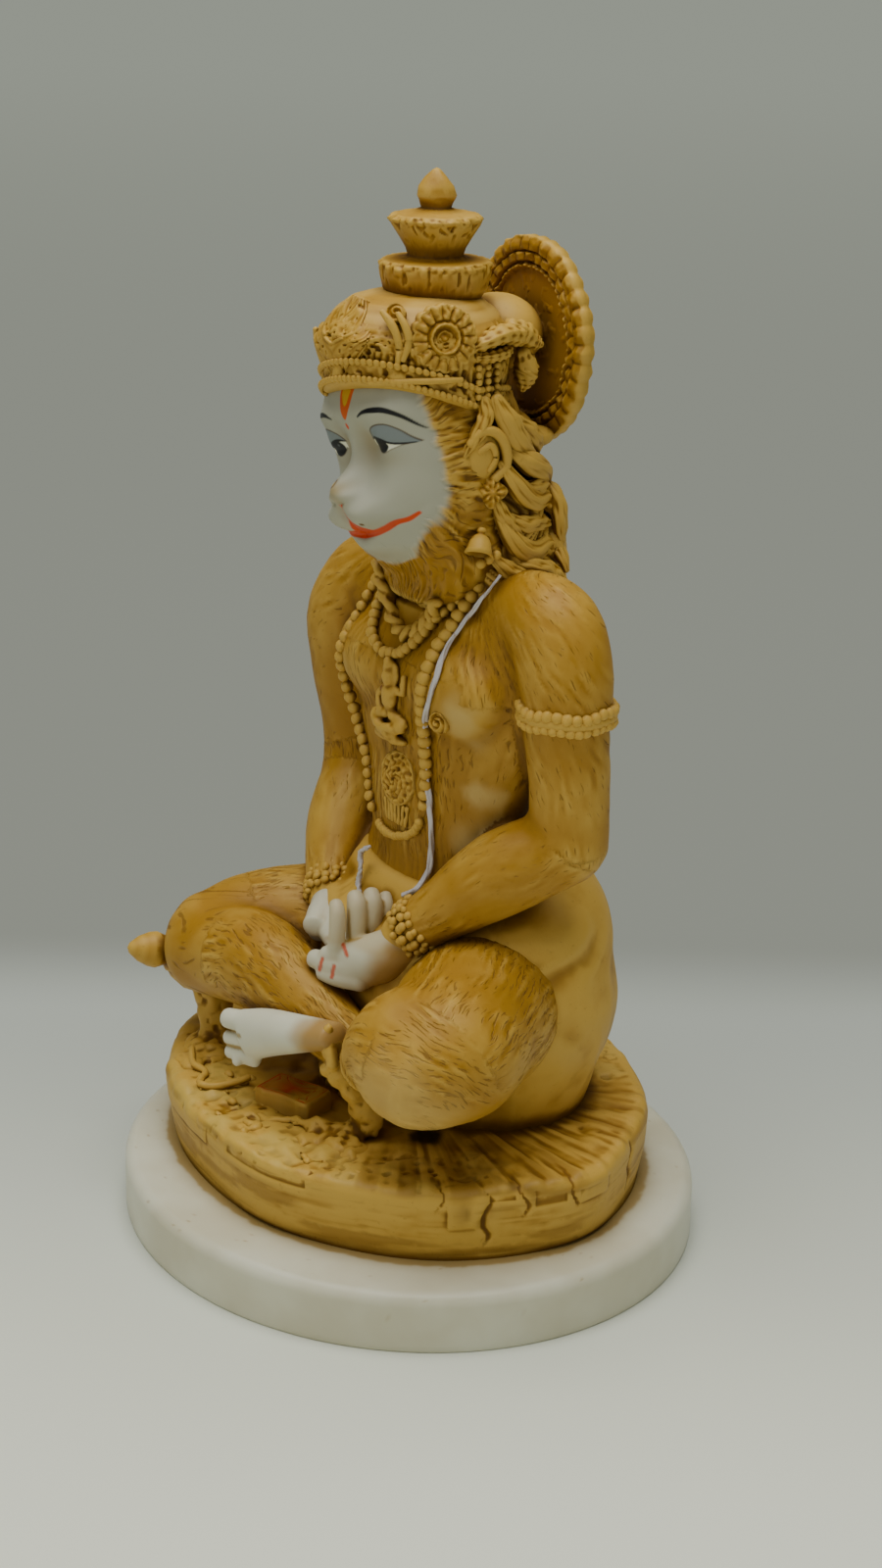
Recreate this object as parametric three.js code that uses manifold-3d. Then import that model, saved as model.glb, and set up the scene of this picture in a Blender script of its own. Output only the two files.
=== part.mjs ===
// A small cast statue of a seated Hanuman, cross-legged on a rough oval rock, which stands on a smooth
// white oval plinth. Millimetres, +Z up. The figure looks along -Y, and its left side is +X. The origin is
// the centre of the plinth's underside.
//
// The figure and its rock are one casting. Its pose, proportions and carving are shares of its seated
// height, so every point and radius of the figure goes through sized(), in units of 1/177 of that height.
// The units are counted from the seat, which is the top of the rock.
import * as THREE from "three";
import { mergeVertices } from "three/addons/utils/BufferGeometryUtils.js";
import Module from "manifold-3d";

const wasm = await Module();
wasm.setup();

// Driving dimensions
const PLINTH_LENGTH = 120;
const PLINTH_WIDTH = 110;
const PLINTH_THICKNESS = 11.5;
const PLINTH_EDGE_RADIUS = 2;
const ROCK_LENGTH = 108;
const ROCK_WIDTH = 90;
const ROCK_HEIGHT = 14.5;
const ROCK_OFFSET_X = -4;
const ROCK_OFFSET_Y = 2;
const ROCK_EDGE_RADIUS = 3;
const SEATED_HEIGHT = 177;

const UNITS_IN_HEIGHT = 177;
const UNIT = SEATED_HEIGHT / UNITS_IN_HEIGHT;
const SEAT_Z = PLINTH_THICKNESS + ROCK_HEIGHT;

// A size of the figure in millimetres.
const sized = (units) => units * UNIT;

// A place on the figure, in millimetres above the plinth's underside.
const place = (x, y, z) => new THREE.Vector3(sized(x), sized(y), SEAT_Z + sized(z));

// A closed solid for joining, from any closed geometry.
function solid(geometry) {
  const bare = geometry.index ? geometry.toNonIndexed() : geometry.clone();
  bare.deleteAttribute("normal");
  bare.deleteAttribute("uv");
  const merged = mergeVertices(bare, 1e-4);
  return new wasm.Manifold(
    new wasm.Mesh({
      numProp: 3,
      vertProperties: merged.attributes.position.array,
      triVerts: new Uint32Array(merged.index.array),
    }),
  );
}

// A solid back to a geometry that three.js draws.
function drawn(made) {
  const mesh = made.getMesh();
  const vertices = new Float32Array(mesh.numVert * 3);
  for (let i = 0; i < mesh.numVert; i++) {
    vertices.set(mesh.vertProperties.subarray(i * mesh.numProp, i * mesh.numProp + 3), i * 3);
  }
  const geometry = new THREE.BufferGeometry();
  geometry.setAttribute("position", new THREE.BufferAttribute(vertices, 3));
  geometry.setIndex(new THREE.BufferAttribute(mesh.triVerts, 1));
  geometry.computeVertexNormals();
  return geometry;
}

// One closed skin over a list of rings of points, with a pole at each end.
function skin(rings, firstPole, lastPole) {
  const sides = rings[0].length;
  const points = [firstPole, ...rings.flat(), lastPole];
  const last = points.length - 1;
  const index = [];
  const at = (ring, side) => 1 + ring * sides + (side % sides);
  for (let s = 0; s < sides; s++) {
    index.push(0, at(0, s + 1), at(0, s));
    index.push(last, at(rings.length - 1, s), at(rings.length - 1, s + 1));
    for (let r = 0; r + 1 < rings.length; r++) {
      index.push(at(r, s), at(r, s + 1), at(r + 1, s + 1));
      index.push(at(r, s), at(r + 1, s + 1), at(r + 1, s));
    }
  }
  const geometry = new THREE.BufferGeometry().setFromPoints(points);
  geometry.setIndex(index);
  return solid(geometry);
}

// A limb: an oval section carried along a smooth path through its stations, with round ends. Each station is
// [x, y, z, half width across, half width along "up"]. carve(share, angle) swells or hollows the section.
function limb(stations, { sides, rings, up = [0, 0, 1], cap = 0.8, carve = () => 0 }) {
  const path = new THREE.CatmullRomCurve3(stations.map((s) => place(s[0], s[1], s[2])));
  const radii = new THREE.CatmullRomCurve3(
    stations.map((s, i) => new THREE.Vector3(sized(s[3]), sized(s[4] ?? s[3]), i * 1e-3)),
  );
  const upwards = new THREE.Vector3(...up);
  const section = (share, push, shrink) => {
    const tangent = path.getTangent(share);
    const across = new THREE.Vector3().crossVectors(upwards, tangent).normalize();
    const along = new THREE.Vector3().crossVectors(tangent, across).normalize();
    const centre = path.getPoint(share).addScaledVector(tangent, push);
    const radius = radii.getPoint(share);
    return Array.from({ length: sides }, (_, i) => {
      const angle = (2 * Math.PI * i) / sides;
      const swell = sized(carve(share, angle));
      return centre
        .clone()
        .addScaledVector(across, Math.cos(angle) * (radius.x + swell) * shrink)
        .addScaledVector(along, Math.sin(angle) * (radius.y + swell) * shrink);
    });
  };
  const endReach = (share) => {
    const radius = radii.getPoint(share);
    return cap * Math.min(radius.x, radius.y);
  };
  const middle = Array.from({ length: rings + 1 }, (_, i) => section(i / rings, 0, 1));
  const start = endReach(0);
  const end = endReach(1);
  const half = Math.SQRT1_2;
  const all = [section(0, -start * half, half), ...middle, section(1, end * half, half)];
  return skin(
    all,
    path.getPoint(0).addScaledVector(path.getTangent(0), -start),
    path.getPoint(1).addScaledVector(path.getTangent(1), end),
  );
}

// An egg-shaped mass.
function mass([x, y, z], [rx, ry, rz], { across, rows }) {
  const geometry = new THREE.SphereGeometry(1, across, rows);
  geometry.rotateX(Math.PI / 2);
  geometry.scale(sized(rx), sized(ry), sized(rz));
  const centre = place(x, y, z);
  geometry.translate(centre.x, centre.y, centre.z);
  return solid(geometry);
}

// A turned form about an upright axis at (x, y), from [radius, height] pairs that start and end on the axis.
// rim(angle, radius) gives a share by which the radius changes, for flutes and petals.
function turned(x, y, profile, { sides, stretch = 1, rim = () => 0 }) {
  const points = profile.map(([r, z]) => new THREE.Vector2(sized(r), sized(z)));
  const geometry = new THREE.LatheGeometry(points, sides);
  geometry.rotateX(Math.PI / 2);
  const position = geometry.attributes.position;
  for (let i = 0; i < position.count; i++) {
    const angle = Math.atan2(position.getY(i), position.getX(i));
    const grown = 1 + rim(angle, Math.hypot(position.getX(i), position.getY(i)) / UNIT);
    position.setXYZ(i, position.getX(i) * grown, position.getY(i) * grown * stretch, position.getZ(i));
  }
  const centre = place(x, y, 0);
  geometry.translate(centre.x, centre.y, centre.z);
  return solid(geometry);
}

// A turned form about any axis: the profile's heights run along the direction from the given centre.
function turnedAlong([x, y, z], direction, profile, sides) {
  const points = profile.map(([r, h]) => new THREE.Vector2(sized(r), sized(h)));
  const geometry = new THREE.LatheGeometry(points, sides);
  const way = new THREE.Vector3(...direction).normalize();
  geometry.applyQuaternion(new THREE.Quaternion().setFromUnitVectors(new THREE.Vector3(0, 1, 0), way));
  const centre = place(x, y, z);
  geometry.translate(centre.x, centre.y, centre.z);
  return solid(geometry);
}

// A string of beads: a tube that is wide at each bead and narrow between beads.
function beads(points, radius, { count, sides, closed = false, waist = 0.62 }) {
  const path = new THREE.CatmullRomCurve3(points.map((p) => place(...p)), closed);
  const steps = count * 2;
  const rings = [];
  const tangentAt = (share) => path.getTangentAt(Math.min(share, 1));
  for (let i = 0; i <= steps - (closed ? 1 : 0); i++) {
    const share = i / steps;
    const tangent = tangentAt(share);
    const side = new THREE.Vector3().crossVectors(new THREE.Vector3(0.11, 0.23, 0.97), tangent).normalize();
    const other = new THREE.Vector3().crossVectors(tangent, side);
    const width = sized(radius) * (i % 2 ? 1 : waist);
    const centre = path.getPointAt(share);
    rings.push(
      Array.from({ length: sides }, (_, s) => {
        const angle = (2 * Math.PI * s) / sides;
        return centre
          .clone()
          .addScaledVector(side, Math.cos(angle) * width)
          .addScaledVector(other, Math.sin(angle) * width);
      }),
    );
  }
  if (!closed) return skin(rings, path.getPointAt(0), path.getPointAt(1));
  const flat = rings.flat();
  const index = [];
  for (let r = 0; r < rings.length; r++) {
    const next = (r + 1) % rings.length;
    for (let s = 0; s < sides; s++) {
      const a = r * sides + s;
      const b = r * sides + ((s + 1) % sides);
      const c = next * sides + ((s + 1) % sides);
      const d = next * sides + s;
      index.push(a, b, c, a, c, d);
    }
  }
  const geometry = new THREE.BufferGeometry().setFromPoints(flat);
  geometry.setIndex(index);
  return solid(geometry);
}

// One casting from solids that run into each other. What they seal off inside is filled, as cast stone is.
function cast(solids) {
  const shells = wasm.Manifold.union(solids).decompose();
  return wasm.Manifold.union(shells.filter((shell) => shell.volume() > 0));
}

// The left-hand copy of a list of stations: the same form on the other side of the body.
const mirrored = (stations) => stations.map(([x, ...rest]) => [-x, ...rest]);

// The rock that the figure sits on: an oval drum with a rounded, chipped edge and a lumpy side.
function rock() {
  const sides = 36;
  const lump = (angle) => 0.014 * Math.sin(5 * angle + 1) + 0.01 * Math.sin(9 * angle + 0.4);
  const ring = (inset, z, rough) =>
    Array.from({ length: sides }, (_, i) => {
      const angle = (2 * Math.PI * i) / sides;
      const grown = 1 + lump(angle) * rough;
      return new THREE.Vector3(
        ROCK_OFFSET_X + Math.cos(angle) * (ROCK_LENGTH / 2 - inset) * grown,
        ROCK_OFFSET_Y + Math.sin(angle) * (ROCK_WIDTH / 2 - inset) * grown,
        z,
      );
    });
  const foot = PLINTH_THICKNESS;
  const slope = ROCK_EDGE_RADIUS * 0.4;
  const rings = [
    ring(slope, foot, 0.3),
    ring(0, foot + ROCK_HEIGHT * 0.3, 1),
    ring(0, foot + ROCK_HEIGHT * 0.62, 1.1),
    ring(slope, SEAT_Z - ROCK_EDGE_RADIUS * 0.5, 1.2),
    ring(ROCK_EDGE_RADIUS, SEAT_Z, 1.4),
  ];
  return skin(
    rings,
    new THREE.Vector3(ROCK_OFFSET_X, ROCK_OFFSET_Y, foot),
    new THREE.Vector3(ROCK_OFFSET_X, ROCK_OFFSET_Y, SEAT_Z),
  );
}

// What lies on the rock: a small brick, the pillar under the mace, two low stones and the mound under the
// legs.
function rockTop() {
  const brick = new THREE.BoxGeometry(sized(12.4), sized(8.8), sized(7));
  brick.rotateZ(0.52);
  const at = place(-1, -26.6, 1.6);
  brick.translate(at.x, at.y, at.z);
  return [
    solid(brick),
    limb([
      [-38, -23, -3, 5.6, 5.6],
      [-39, -23, 6, 4.2, 4.4],
      [-40, -22, 15, 4.2, 4.4],
    ], { up: [0, 1, 0], rings: 2, sides: 7 }),
    mass([-33, -26, -1], [7, 5, 3.4], { across: 7, rows: 4 }),
    mass([14, -26, -1], [11, 6, 4], { across: 8, rows: 4 }),
    mass([0, -8, 0], [34, 15, 12], { across: 10, rows: 6 }),
  ];
}

// Hips, waist, chest and neck, as level oval sections, with the breast and the belly in front.
function torso() {
  return [
    limb(
      [
        [0, 11, 38, 28, 19],
        [0, 10.5, 46, 23, 14.5],
        [0, 10, 53, 21.5, 12.8],
        [0, 9.5, 63, 23.5, 13],
        [0, 10, 74, 27.5, 14.2],
        [0, 10.5, 84, 30, 14.5],
        [0.5, 11, 93, 30, 13],
        [0.5, 11, 100, 22, 11.5],
        [0, 8, 106, 13, 10],
        [0, 5, 113, 12, 9],
      ],
      { sides: 14, rings: 8, up: [0, 1, 0], cap: 0.3 },
    ),
    mass([12, 1.5, 84], [13, 6.2, 9.5], { across: 8, rows: 5 }),
    mass([-12, 1.5, 84], [13, 6.2, 9.5], { across: 8, rows: 5 }),
    mass([0, 4, 58], [15, 7.6, 13], { across: 8, rows: 5 }),
  ];
}

// The waist cloth over the hips, with folds that fan from the waist, its hem round the left thigh and its
// rolled upper edge.
function cloth() {
  const foldCount = 6;
  const folds = (share, angle) => 0.8 * Math.sin(foldCount * angle + 2 * Math.sin(3 * share));
  const hem = [[12, 12.5, 21, 17, 16.6], [21, 5, 24, 16.8, 17], [27.5, -2, 24.8, 16.3, 16.8]];
  const roll = [[25, 4, 41.5, 2.8, 2.6], [13, -2.6, 43, 3, 3], [0, -4.6, 42.5, 3.2, 3]];
  return [
    limb(
      [
        [0, 12, -3, 29, 22],
        [0, 12, 7, 34, 24],
        [0, 12, 20, 36.5, 27.4],
        [0, 12, 31, 35, 26.2],
        [0, 11.5, 40, 32, 24],
        [0, 10.5, 46, 24.6, 16.4],
      ],
      { sides: 4 * foldCount, rings: 5, up: [0, 1, 0], cap: 0.2, carve: folds },
    ),
    limb(hem, { sides: 10, rings: 2, cap: 0.06 }),
    limb([...roll, ...mirrored(roll.slice(0, 2)).reverse()], { sides: 4, rings: 5 }),
  ];
}

// Crossed legs: each thigh runs out to its knee, and the shins fold back in front of the body.
function legs() {
  return [
    limb([
      [17, 8, 24, 14.5, 15],
      [27, -3, 25, 15, 15],
      [34, -15, 23.5, 13.4, 13.6],
      [36, -21, 21.5, 12, 12],
    ], {
      sides: 10,
      rings: 4,
      cap: 0.85,
    }),
    limb([
      [36, -20, 20.5, 11.5, 11],
      [27, -23.5, 22, 10.6, 11],
      [19.5, -25, 19.5, 7.6, 7.8],
      [13, -26.5, 16.2, 5.2, 5.6],
    ], {
      sides: 9,
      rings: 3,
    }),
    limb([
      [-17, 8, 24, 13.5, 14],
      [-27, -4, 25, 13, 13.5],
      [-34, -15, 23.5, 11.5, 11.5],
      [-36.5, -22, 21.5, 9.4, 9.6],
    ], {
      sides: 9,
      rings: 3,
      cap: 0.85,
    }),
    limb([
      [-36, -23, 20, 8.6, 9],
      [-18, -22.5, 23.4, 9, 9.6],
      [-2, -21.5, 20.5, 7, 7.6],
      [12, -19, 15.5, 5, 5.4],
    ], {
      sides: 8,
      rings: 4,
    }),
    limb([[12, -19, 14.5, 4.6, 5], [20, -14, 12.5, 4, 6], [28, -8, 11, 3, 5.5]], { sides: 5, rings: 1 }),
  ];
}

// The left foot lies on its outer edge, with its toes one above the other.
function foot() {
  const toes = [[19.2, 2.3, 0], [15.8, 1.8, 0.2], [13.2, 1.7, 0.5], [10.9, 1.6, 1.1], [8.9, 1.5, 1.9]];
  return [
    limb([
      [15, -26.5, 16, 4.2, 5.2],
      [7, -28.6, 15.8, 4.2, 6.2],
      [-2, -30.6, 15.2, 3.6, 6.8],
      [-7, -32, 14.6, 2.6, 6.6],
    ], {
      sides: 8,
      rings: 3,
      cap: 0.5,
    }),
    ...toes.map(([z, r, short]) =>
      limb([
        [-5, -31.6, z, r, r],
        [-8.5, -32.8, z - 0.2, r, r],
        [-11.2 + short, -33.8, z - 0.5, r * 0.9, r * 0.95],
      ], {
        sides: 4,
        rings: 1,
      }),
    ),
  ];
}

// Upper arms hang from the shoulders and the forearms come in to the lap.
function arms() {
  const upper = { sides: 9, rings: 5, up: [0, 1, 0], cap: 0.8 };
  const lower = { sides: 8, rings: 4 };
  return [
    limb([
      [19, 10.5, 99.5, 8, 7.4],
      [29, 11, 98.6, 9.2, 8.8],
      [33.2, 11, 91.5, 9.2, 9.2],
      [33.8, 11.2, 81, 8.3, 8.4],
      [34, 12, 70, 7.6, 7.6],
      [33.6, 12.4, 59, 7.5, 7.5],
    ], upper),
    limb([
      [33.6, 12.2, 58.5, 7.2, 7.4],
      [26.5, 3, 52.5, 7.6, 8],
      [18.5, -5.2, 43.5, 5.6, 5.9],
      [12.5, -9.6, 37, 4.6, 4.9],
    ], lower),
    limb([
      [-19, 10, 97, 8, 7],
      [-28, 9, 95, 9.5, 8.6],
      [-33.8, 7.8, 87, 10.4, 10.4],
      [-35, 8.6, 77, 9.2, 9.2],
      [-35.2, 10.4, 64, 8, 8],
      [-34.6, 10.6, 55, 7.8, 7.8],
    ], upper),
    limb([
      [-34.4, 10.5, 54.5, 7.4, 7.6],
      [-28.5, 2.5, 45, 7.6, 7.6],
      [-21.5, -3.6, 38.5, 6, 5.8],
      [-16, -7, 35, 4.8, 4.8],
    ], lower),
  ];
}

// The hands lie one in the other in the lap, palms up, with the upper fingers curled.
function hands() {
  const finger = { sides: 4, rings: 2 };
  const curled = [1.2, 0.4, 0, 1.8].map((short, i) => {
    const y = -17.2 + 3.6 * i;
    const top = 43.2 - short;
    return limb([
      [0, y + 0.6, 33.5, 1.9, 2],
      [3.4, y, 36, 1.9, 1.9],
      [3.2, y + 0.3, top - 1.5, 1.7, 1.7],
    ], { ...finger, up: [0, 1, 0] });
  });
  const laid = [0, 1, 2, 3].map((i) =>
    limb([
      [2, -15.4 + 0.6 * i, 33 - 2.2 * i, 1.9, 1.8],
      [-7.6, -17.6 + i, 32 - 1.6 * i, 1.6, 1.6],
    ], { sides: 4, rings: 1 }),
  );
  return [
    limb([[-16, -7, 35, 4.2, 3.8], [-8, -10.5, 33.5, 7, 3.6], [0, -12, 33, 7.4, 3]], { sides: 8, rings: 2 }),
    limb([[12.5, -9.6, 36.8, 4, 4.2], [7, -12, 33, 6, 4.2], [0, -14, 30, 6, 4]], { sides: 8, rings: 2 }),
    limb([[11, -12, 37.5, 2, 2.2], [6, -15.4, 37.4, 2, 2.1], [0.6, -17.8, 35.6, 1.7, 1.8]], finger),
    limb([
      [-11, -12, 35.5, 2.6, 2.6],
      [-8, -16, 36, 3.1, 3.1],
      [-6.4, -18.4, 35.2, 3, 3],
    ], { ...finger, cap: 0.9 }),
    ...curled,
    ...laid,
  ];
}

// A soft bump of the given reach about (x0, z0), as a share from 0 to 1.
function bump(x, z, x0, z0, reachX, reachZ) {
  return Math.exp(-(((x - x0) / reachX) ** 2) - ((z - z0) / reachZ) ** 2);
}

// The monkey face: level sections from the beard up to the crown. Each row is [height, half width, front y]
// of the plain skull, and nose, muzzle and chin swell from its front.
function head() {
  const rows = [
    [100, 12, -2],
    [104.5, 13, -4.5],
    [107.5, 12.6, -7.6],
    [110.5, 12.6, -10.6],
    [113.2, 13.2, -11.8],
    [115.4, 13.9, -12.4],
    [118.2, 14.5, -12.6],
    [121, 14.9, -12.8],
    [125, 15.3, -13],
    [130, 15.3, -13.6],
    [134, 15.4, -15.4],
    [138, 15, -14.9],
    [142, 13, -13],
  ];
  const sides = 22;
  const back = 12;
  const swell = (x, z) => {
    const aside = Math.abs(x);
    const nose = 3.2 * bump(x, z, 0, 122, 2.8, 4) + 0.6 * bump(x, z, 0, 128, 2.4, 5);
    const muzzle = 4.2 * bump(aside, z, 3.2, 117.2, 6, 4.6) - 0.7 * bump(x, z, 0, 116.6, 1.2, 3);
    const lips = -1 * bump(x, z, 0, 113.2, 8, 1.1) + 2 * bump(x, z, 0, 110.8, 6.5, 2.6);
    return nose + muzzle + lips;
  };
  const ring = ([z, width, front]) =>
    Array.from({ length: sides }, (_, i) => {
      const turn = (2 * Math.PI * i) / sides;
      const angle = turn - 0.5 * Math.sin(turn);
      const x = width * Math.sin(angle);
      const middle = (front + back) / 2;
      const flat = Math.sign(Math.cos(angle)) * Math.abs(Math.cos(angle)) ** 0.6;
      const y = middle + (flat * (front - back)) / 2 - (Math.cos(angle) > 0 ? swell(x, z) : 0);
      return place(x, y, z);
    });
  return [
    skin(rows.map(ring), place(0, 5, 99), place(0, 5, 144)),
    ...[-1, 1].flatMap((side) => [
      mass([side * 16.4, -0.8, 127.5], [2.2, 3.4, 5], { across: 6, rows: 4 }),
      mass([side * 17.8, 3, 117], [2.2, 2.8, 3.2], { across: 6, rows: 4 }),
      turnedAlong([side * 18.2, 1.6, 112.2], [0, 0, -1], [[0, -2.4], [2.2, -1], [2.4, 0.8], [0, 2.4]], 6),
    ]),
  ];
}

// Long hair: one mass behind the head, waved into locks that spread on the shoulders and turn out at their
// ends. Each row is [height, middle y, half width, half depth, depth of the grooves between locks].
function hair() {
  const rows = [
    [141, 3.5, 13.6, 12.5, 0.2],
    [131, 6.2, 16.8, 14.1, 0.8],
    [121.5, 9.4, 19, 15.2, 1],
    [117, 11, 21, 16.4, 1.2],
    [111, 11.6, 22, 16.8, 1.4],
    [105, 12, 23.8, 17, 1.4],
    [99, 12.6, 23.6, 15, 1.2],
  ];
  const locks = 8;
  const sides = 4 * locks;
  const ring = ([z, y, width, depth, groove]) =>
    Array.from({ length: sides }, (_, i) => {
      const angle = (2 * Math.PI * i) / sides;
      const wave = groove * Math.cos(locks * angle + 1.3 * Math.sin(z * 0.42) * Math.sign(Math.sin(angle)));
      return place(Math.sin(angle) * (width + wave), y + Math.cos(angle) * (depth + wave), z);
    });
  return [skin(rows.map(ring), place(0, 5, 142), place(0, 12, 97))];
}

// The crown: a rounded cap with a beaded band, two bowl-shaped tiers, a bud on top, and its ornaments.
function crown() {
  const petals = (count, depth, from) => (angle, r) => (r > from ? depth * Math.cos(count * angle) : 0);
  const cap = turned(
    0,
    -0.8,
    [[0, 137], [15.8, 137], [16.8, 138.6], [15.7, 140.2], [16.6, 145], [15.4, 150.4], [11, 154.6], [0, 156]],
    { sides: 16, stretch: 1.04 },
  );
  const tiers = turned(
    0,
    3.2,
    [
      [0, 152.6], [8, 153.8], [9.8, 157.6], [10.4, 160.6], [5, 161.8], [7.4, 164.8],
      [8.5, 168.2], [2.8, 170.2], [3.6, 172.4], [2.6, 174.6], [0, 177],
    ],
    { sides: 14, rim: petals(7, 0.03, 7.5) },
  );
  const crest = limb([
    [0, -15.6, 139, 4, 1.6],
    [0, -16.7, 145, 8.4, 1.8],
    [0, -14.2, 150.6, 6.6, 1.8],
    [0, -12.4, 154.8, 2, 1.2],
  ], {
    up: [0, 1, 0.2],
    sides: 8,
    rings: 3,
    cap: 0.6,
  });
  const rosette = (side) => {
    const turn = -0.35;
    const way = [side * Math.cos(turn), Math.sin(turn), 0.15];
    const middle = [side * 14.6 * Math.cos(turn), -1 + 15 * Math.sin(turn), 148.6];
    return turnedAlong(middle, way, [[0, -2], [5.6, -1], [4.8, 1.9], [0, 2.8]], 8);
  };
  return [
    cap,
    tiers,
    crest,
    ...[-1, 1].flatMap((side) => [
      rosette(side),
      mass([side * 13.2, 11, 146], [4.6, 7, 5.6], { across: 7, rows: 4 }),
    ]),
  ];
}

// The round halo plate behind the crown: a boss in a dish, a raised ring and a rim of petals.
function halo() {
  const petalCount = 14;
  const narrowed = 0.93;
  const profile = [
    [0, -1.8],
    [18.6, -1.8],
    [19.3, 0.8],
    [16.4, 2.2],
    [13.4, 1.8],
    [12.2, 0.3],
    [5.6, 0.2],
    [0, 2.4],
  ];
  const points = profile.map(([r, h]) => new THREE.Vector2(sized(r), sized(h)));
  const geometry = new THREE.LatheGeometry(points, petalCount * 2);
  const position = geometry.attributes.position;
  for (let i = 0; i < position.count; i++) {
    const r = Math.hypot(position.getX(i), position.getZ(i)) / UNIT;
    const angle = Math.atan2(position.getZ(i), position.getX(i));
    const scallop = r > 17 ? 1 + 0.03 * Math.cos(petalCount * angle) : 1;
    position.setXYZ(i, position.getX(i) * scallop * narrowed, position.getY(i), position.getZ(i) * scallop);
  }
  geometry.rotateX(Math.PI - 0.02);
  const centre = place(0, 24.8, 143.8);
  geometry.translate(centre.x, centre.y, centre.z);
  return [
    solid(geometry),
    mass([0, 17, 147], [9, 8, 7], { across: 8, rows: 4 }),
    mass([0, 19, 128], [12, 5.6, 6], { across: 8, rows: 4 }),
  ];
}

// Bead necklaces, the pendant, the relief on the breast, the painted cord, arm bands and bracelets.
function jewels() {
  const long = [
    [14.5, 3, 104],
    [11.6, -3.6, 97],
    [10.6, -5.8, 88],
    [9.4, -5.8, 80],
    [8.8, -4.6, 70],
    [8, -4.4, 62],
    [4.6, -5, 54.5],
    [0, -5.2, 51.6],
  ];
  const short = [[12, 1.5, 105], [9, -3.9, 99.5], [5, -5.8, 95], [0, -6.6, 92.4]];
  const bothSides = (half) => [...half, ...mirrored(half).reverse().slice(1)];
  const cord = [
    [16.5, 4.6, 105.4],
    [14.4, -2, 97],
    [12, -5.6, 88.5],
    [10.4, -6.6, 80],
    [9.6, -5, 70],
    [10.4, -3.8, 62],
    [10.6, -3.6, 54],
    [9.4, -5, 46],
    [5.4, -9, 43],
  ];
  const loop = (centre, tilt, radius, count, size) => {
    const turns = Array.from({ length: 8 }, (_, i) => (2 * Math.PI * i) / 8);
    const points = turns.map((turn) => {
      const point = new THREE.Vector3(Math.cos(turn) * radius, Math.sin(turn) * radius, 0);
      point.applyEuler(new THREE.Euler(...tilt));
      return [centre[0] + point.x, centre[1] + point.y, centre[2] + point.z];
    });
    return beads(points, size, { count, closed: true, sides: 4 });
  };
  const quarter = Math.PI / 4;
  return [
    beads(bothSides(long), 1.8, { count: 17, sides: 4 }),
    beads(bothSides(short), 1.7, { count: 7, sides: 4 }),
    mass([0.6, -4.8, 65], [3.2, 1.9, 5.2], { across: 6, rows: 4 }),
    mass([0, -4.6, 81.4], [3, 2.6, 4.4], { across: 6, rows: 4 }),
    mass([0, -5, 74.6], [4.6, 2.8, 4], { across: 6, rows: 4 }),
    beads(cord, 0.9, { count: 5, sides: 3, waist: 0.95 }),
    loop([34.1, 10.2, 83], [0.1, 0.12, 0], 9.3, 8, 1.7),
    loop([-34, 9, 81], [0.1, -0.12, 0], 8.9, 8, 1.7),
    loop([14.6, -8.2, 39.6], [0.6, 0.9, quarter], 4.6, 5, 1.5),
    loop([-18, -6, 36.4], [0.5, -1, -quarter], 4.6, 5, 1.5),
  ];
}

// The mace leans along the right side: its head on the pillar by the knee, its handle's end on the rock.
function mace() {
  const profile = [
    [0, 0],
    [3.4, 4.2],
    [3.6, 6.4],
    [2.4, 8.6],
    [6.4, 11],
    [8.4, 17],
    [7.6, 23],
    [3.4, 28.4],
    [2.4, 31],
    [2.2, 70],
    [3, 73],
    [0, 75],
  ];
  return [turnedAlong([-48.6, -39.2, 20.6], [9.6, 72.7, -18.4], profile, 8)];
}

// The tail comes out below the waist cloth behind and lies on the rock towards the figure's right.
function tail() {
  const path = [
    [0, 34, 6, 3.6, 3.6],
    [-5, 38.4, 2.6, 3.2, 3.2],
    [-18, 37.4, 1.6, 3, 3],
    [-31, 31, 1.4, 2.7, 2.7],
    [-37, 24, 1.4, 2.2, 2.2],
  ];
  return [limb(path, { sides: 6, rings: 5 })];
}

// The oval plinth, with its upper edge rounded over.
function plinth() {
  const sides = 40;
  const half = Math.SQRT1_2;
  const radius = Math.min(PLINTH_EDGE_RADIUS, PLINTH_THICKNESS / 2);
  const level = (inset, z) =>
    Array.from({ length: sides }, (_, i) => {
      const angle = (2 * Math.PI * i) / sides;
      return new THREE.Vector3(
        Math.cos(angle) * (PLINTH_LENGTH / 2 - inset),
        Math.sin(angle) * (PLINTH_WIDTH / 2 - inset),
        z,
      );
    });
  const rings = [
    level(0, 0),
    level(0, PLINTH_THICKNESS - radius),
    level(radius * (1 - half), PLINTH_THICKNESS - radius * (1 - half)),
    level(radius, PLINTH_THICKNESS),
  ];
  return skin(rings, new THREE.Vector3(0, 0, 0), new THREE.Vector3(0, 0, PLINTH_THICKNESS));
}

// A named mesh of one casting.
function casting(name, made, colour, roughness) {
  const finish = new THREE.MeshStandardMaterial({ color: colour, roughness, metalness: 0 });
  const mesh = new THREE.Mesh(drawn(made), finish);
  mesh.name = name;
  return mesh;
}

const figureSolids = [
  rock(),
  ...rockTop(),
  ...torso(),
  ...cloth(),
  ...legs(),
  ...foot(),
  ...arms(),
  ...hands(),
  ...head(),
  ...hair(),
  ...crown(),
  ...halo(),
  ...jewels(),
  ...mace(),
  ...tail(),
];

const statue = new THREE.Group();
statue.add(casting("hanuman_figure", cast(figureSolids), 0xb98a2c, 0.5));
statue.add(casting("oval_plinth", plinth(), 0xe6e6dc, 0.35));

export default statue;
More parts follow.
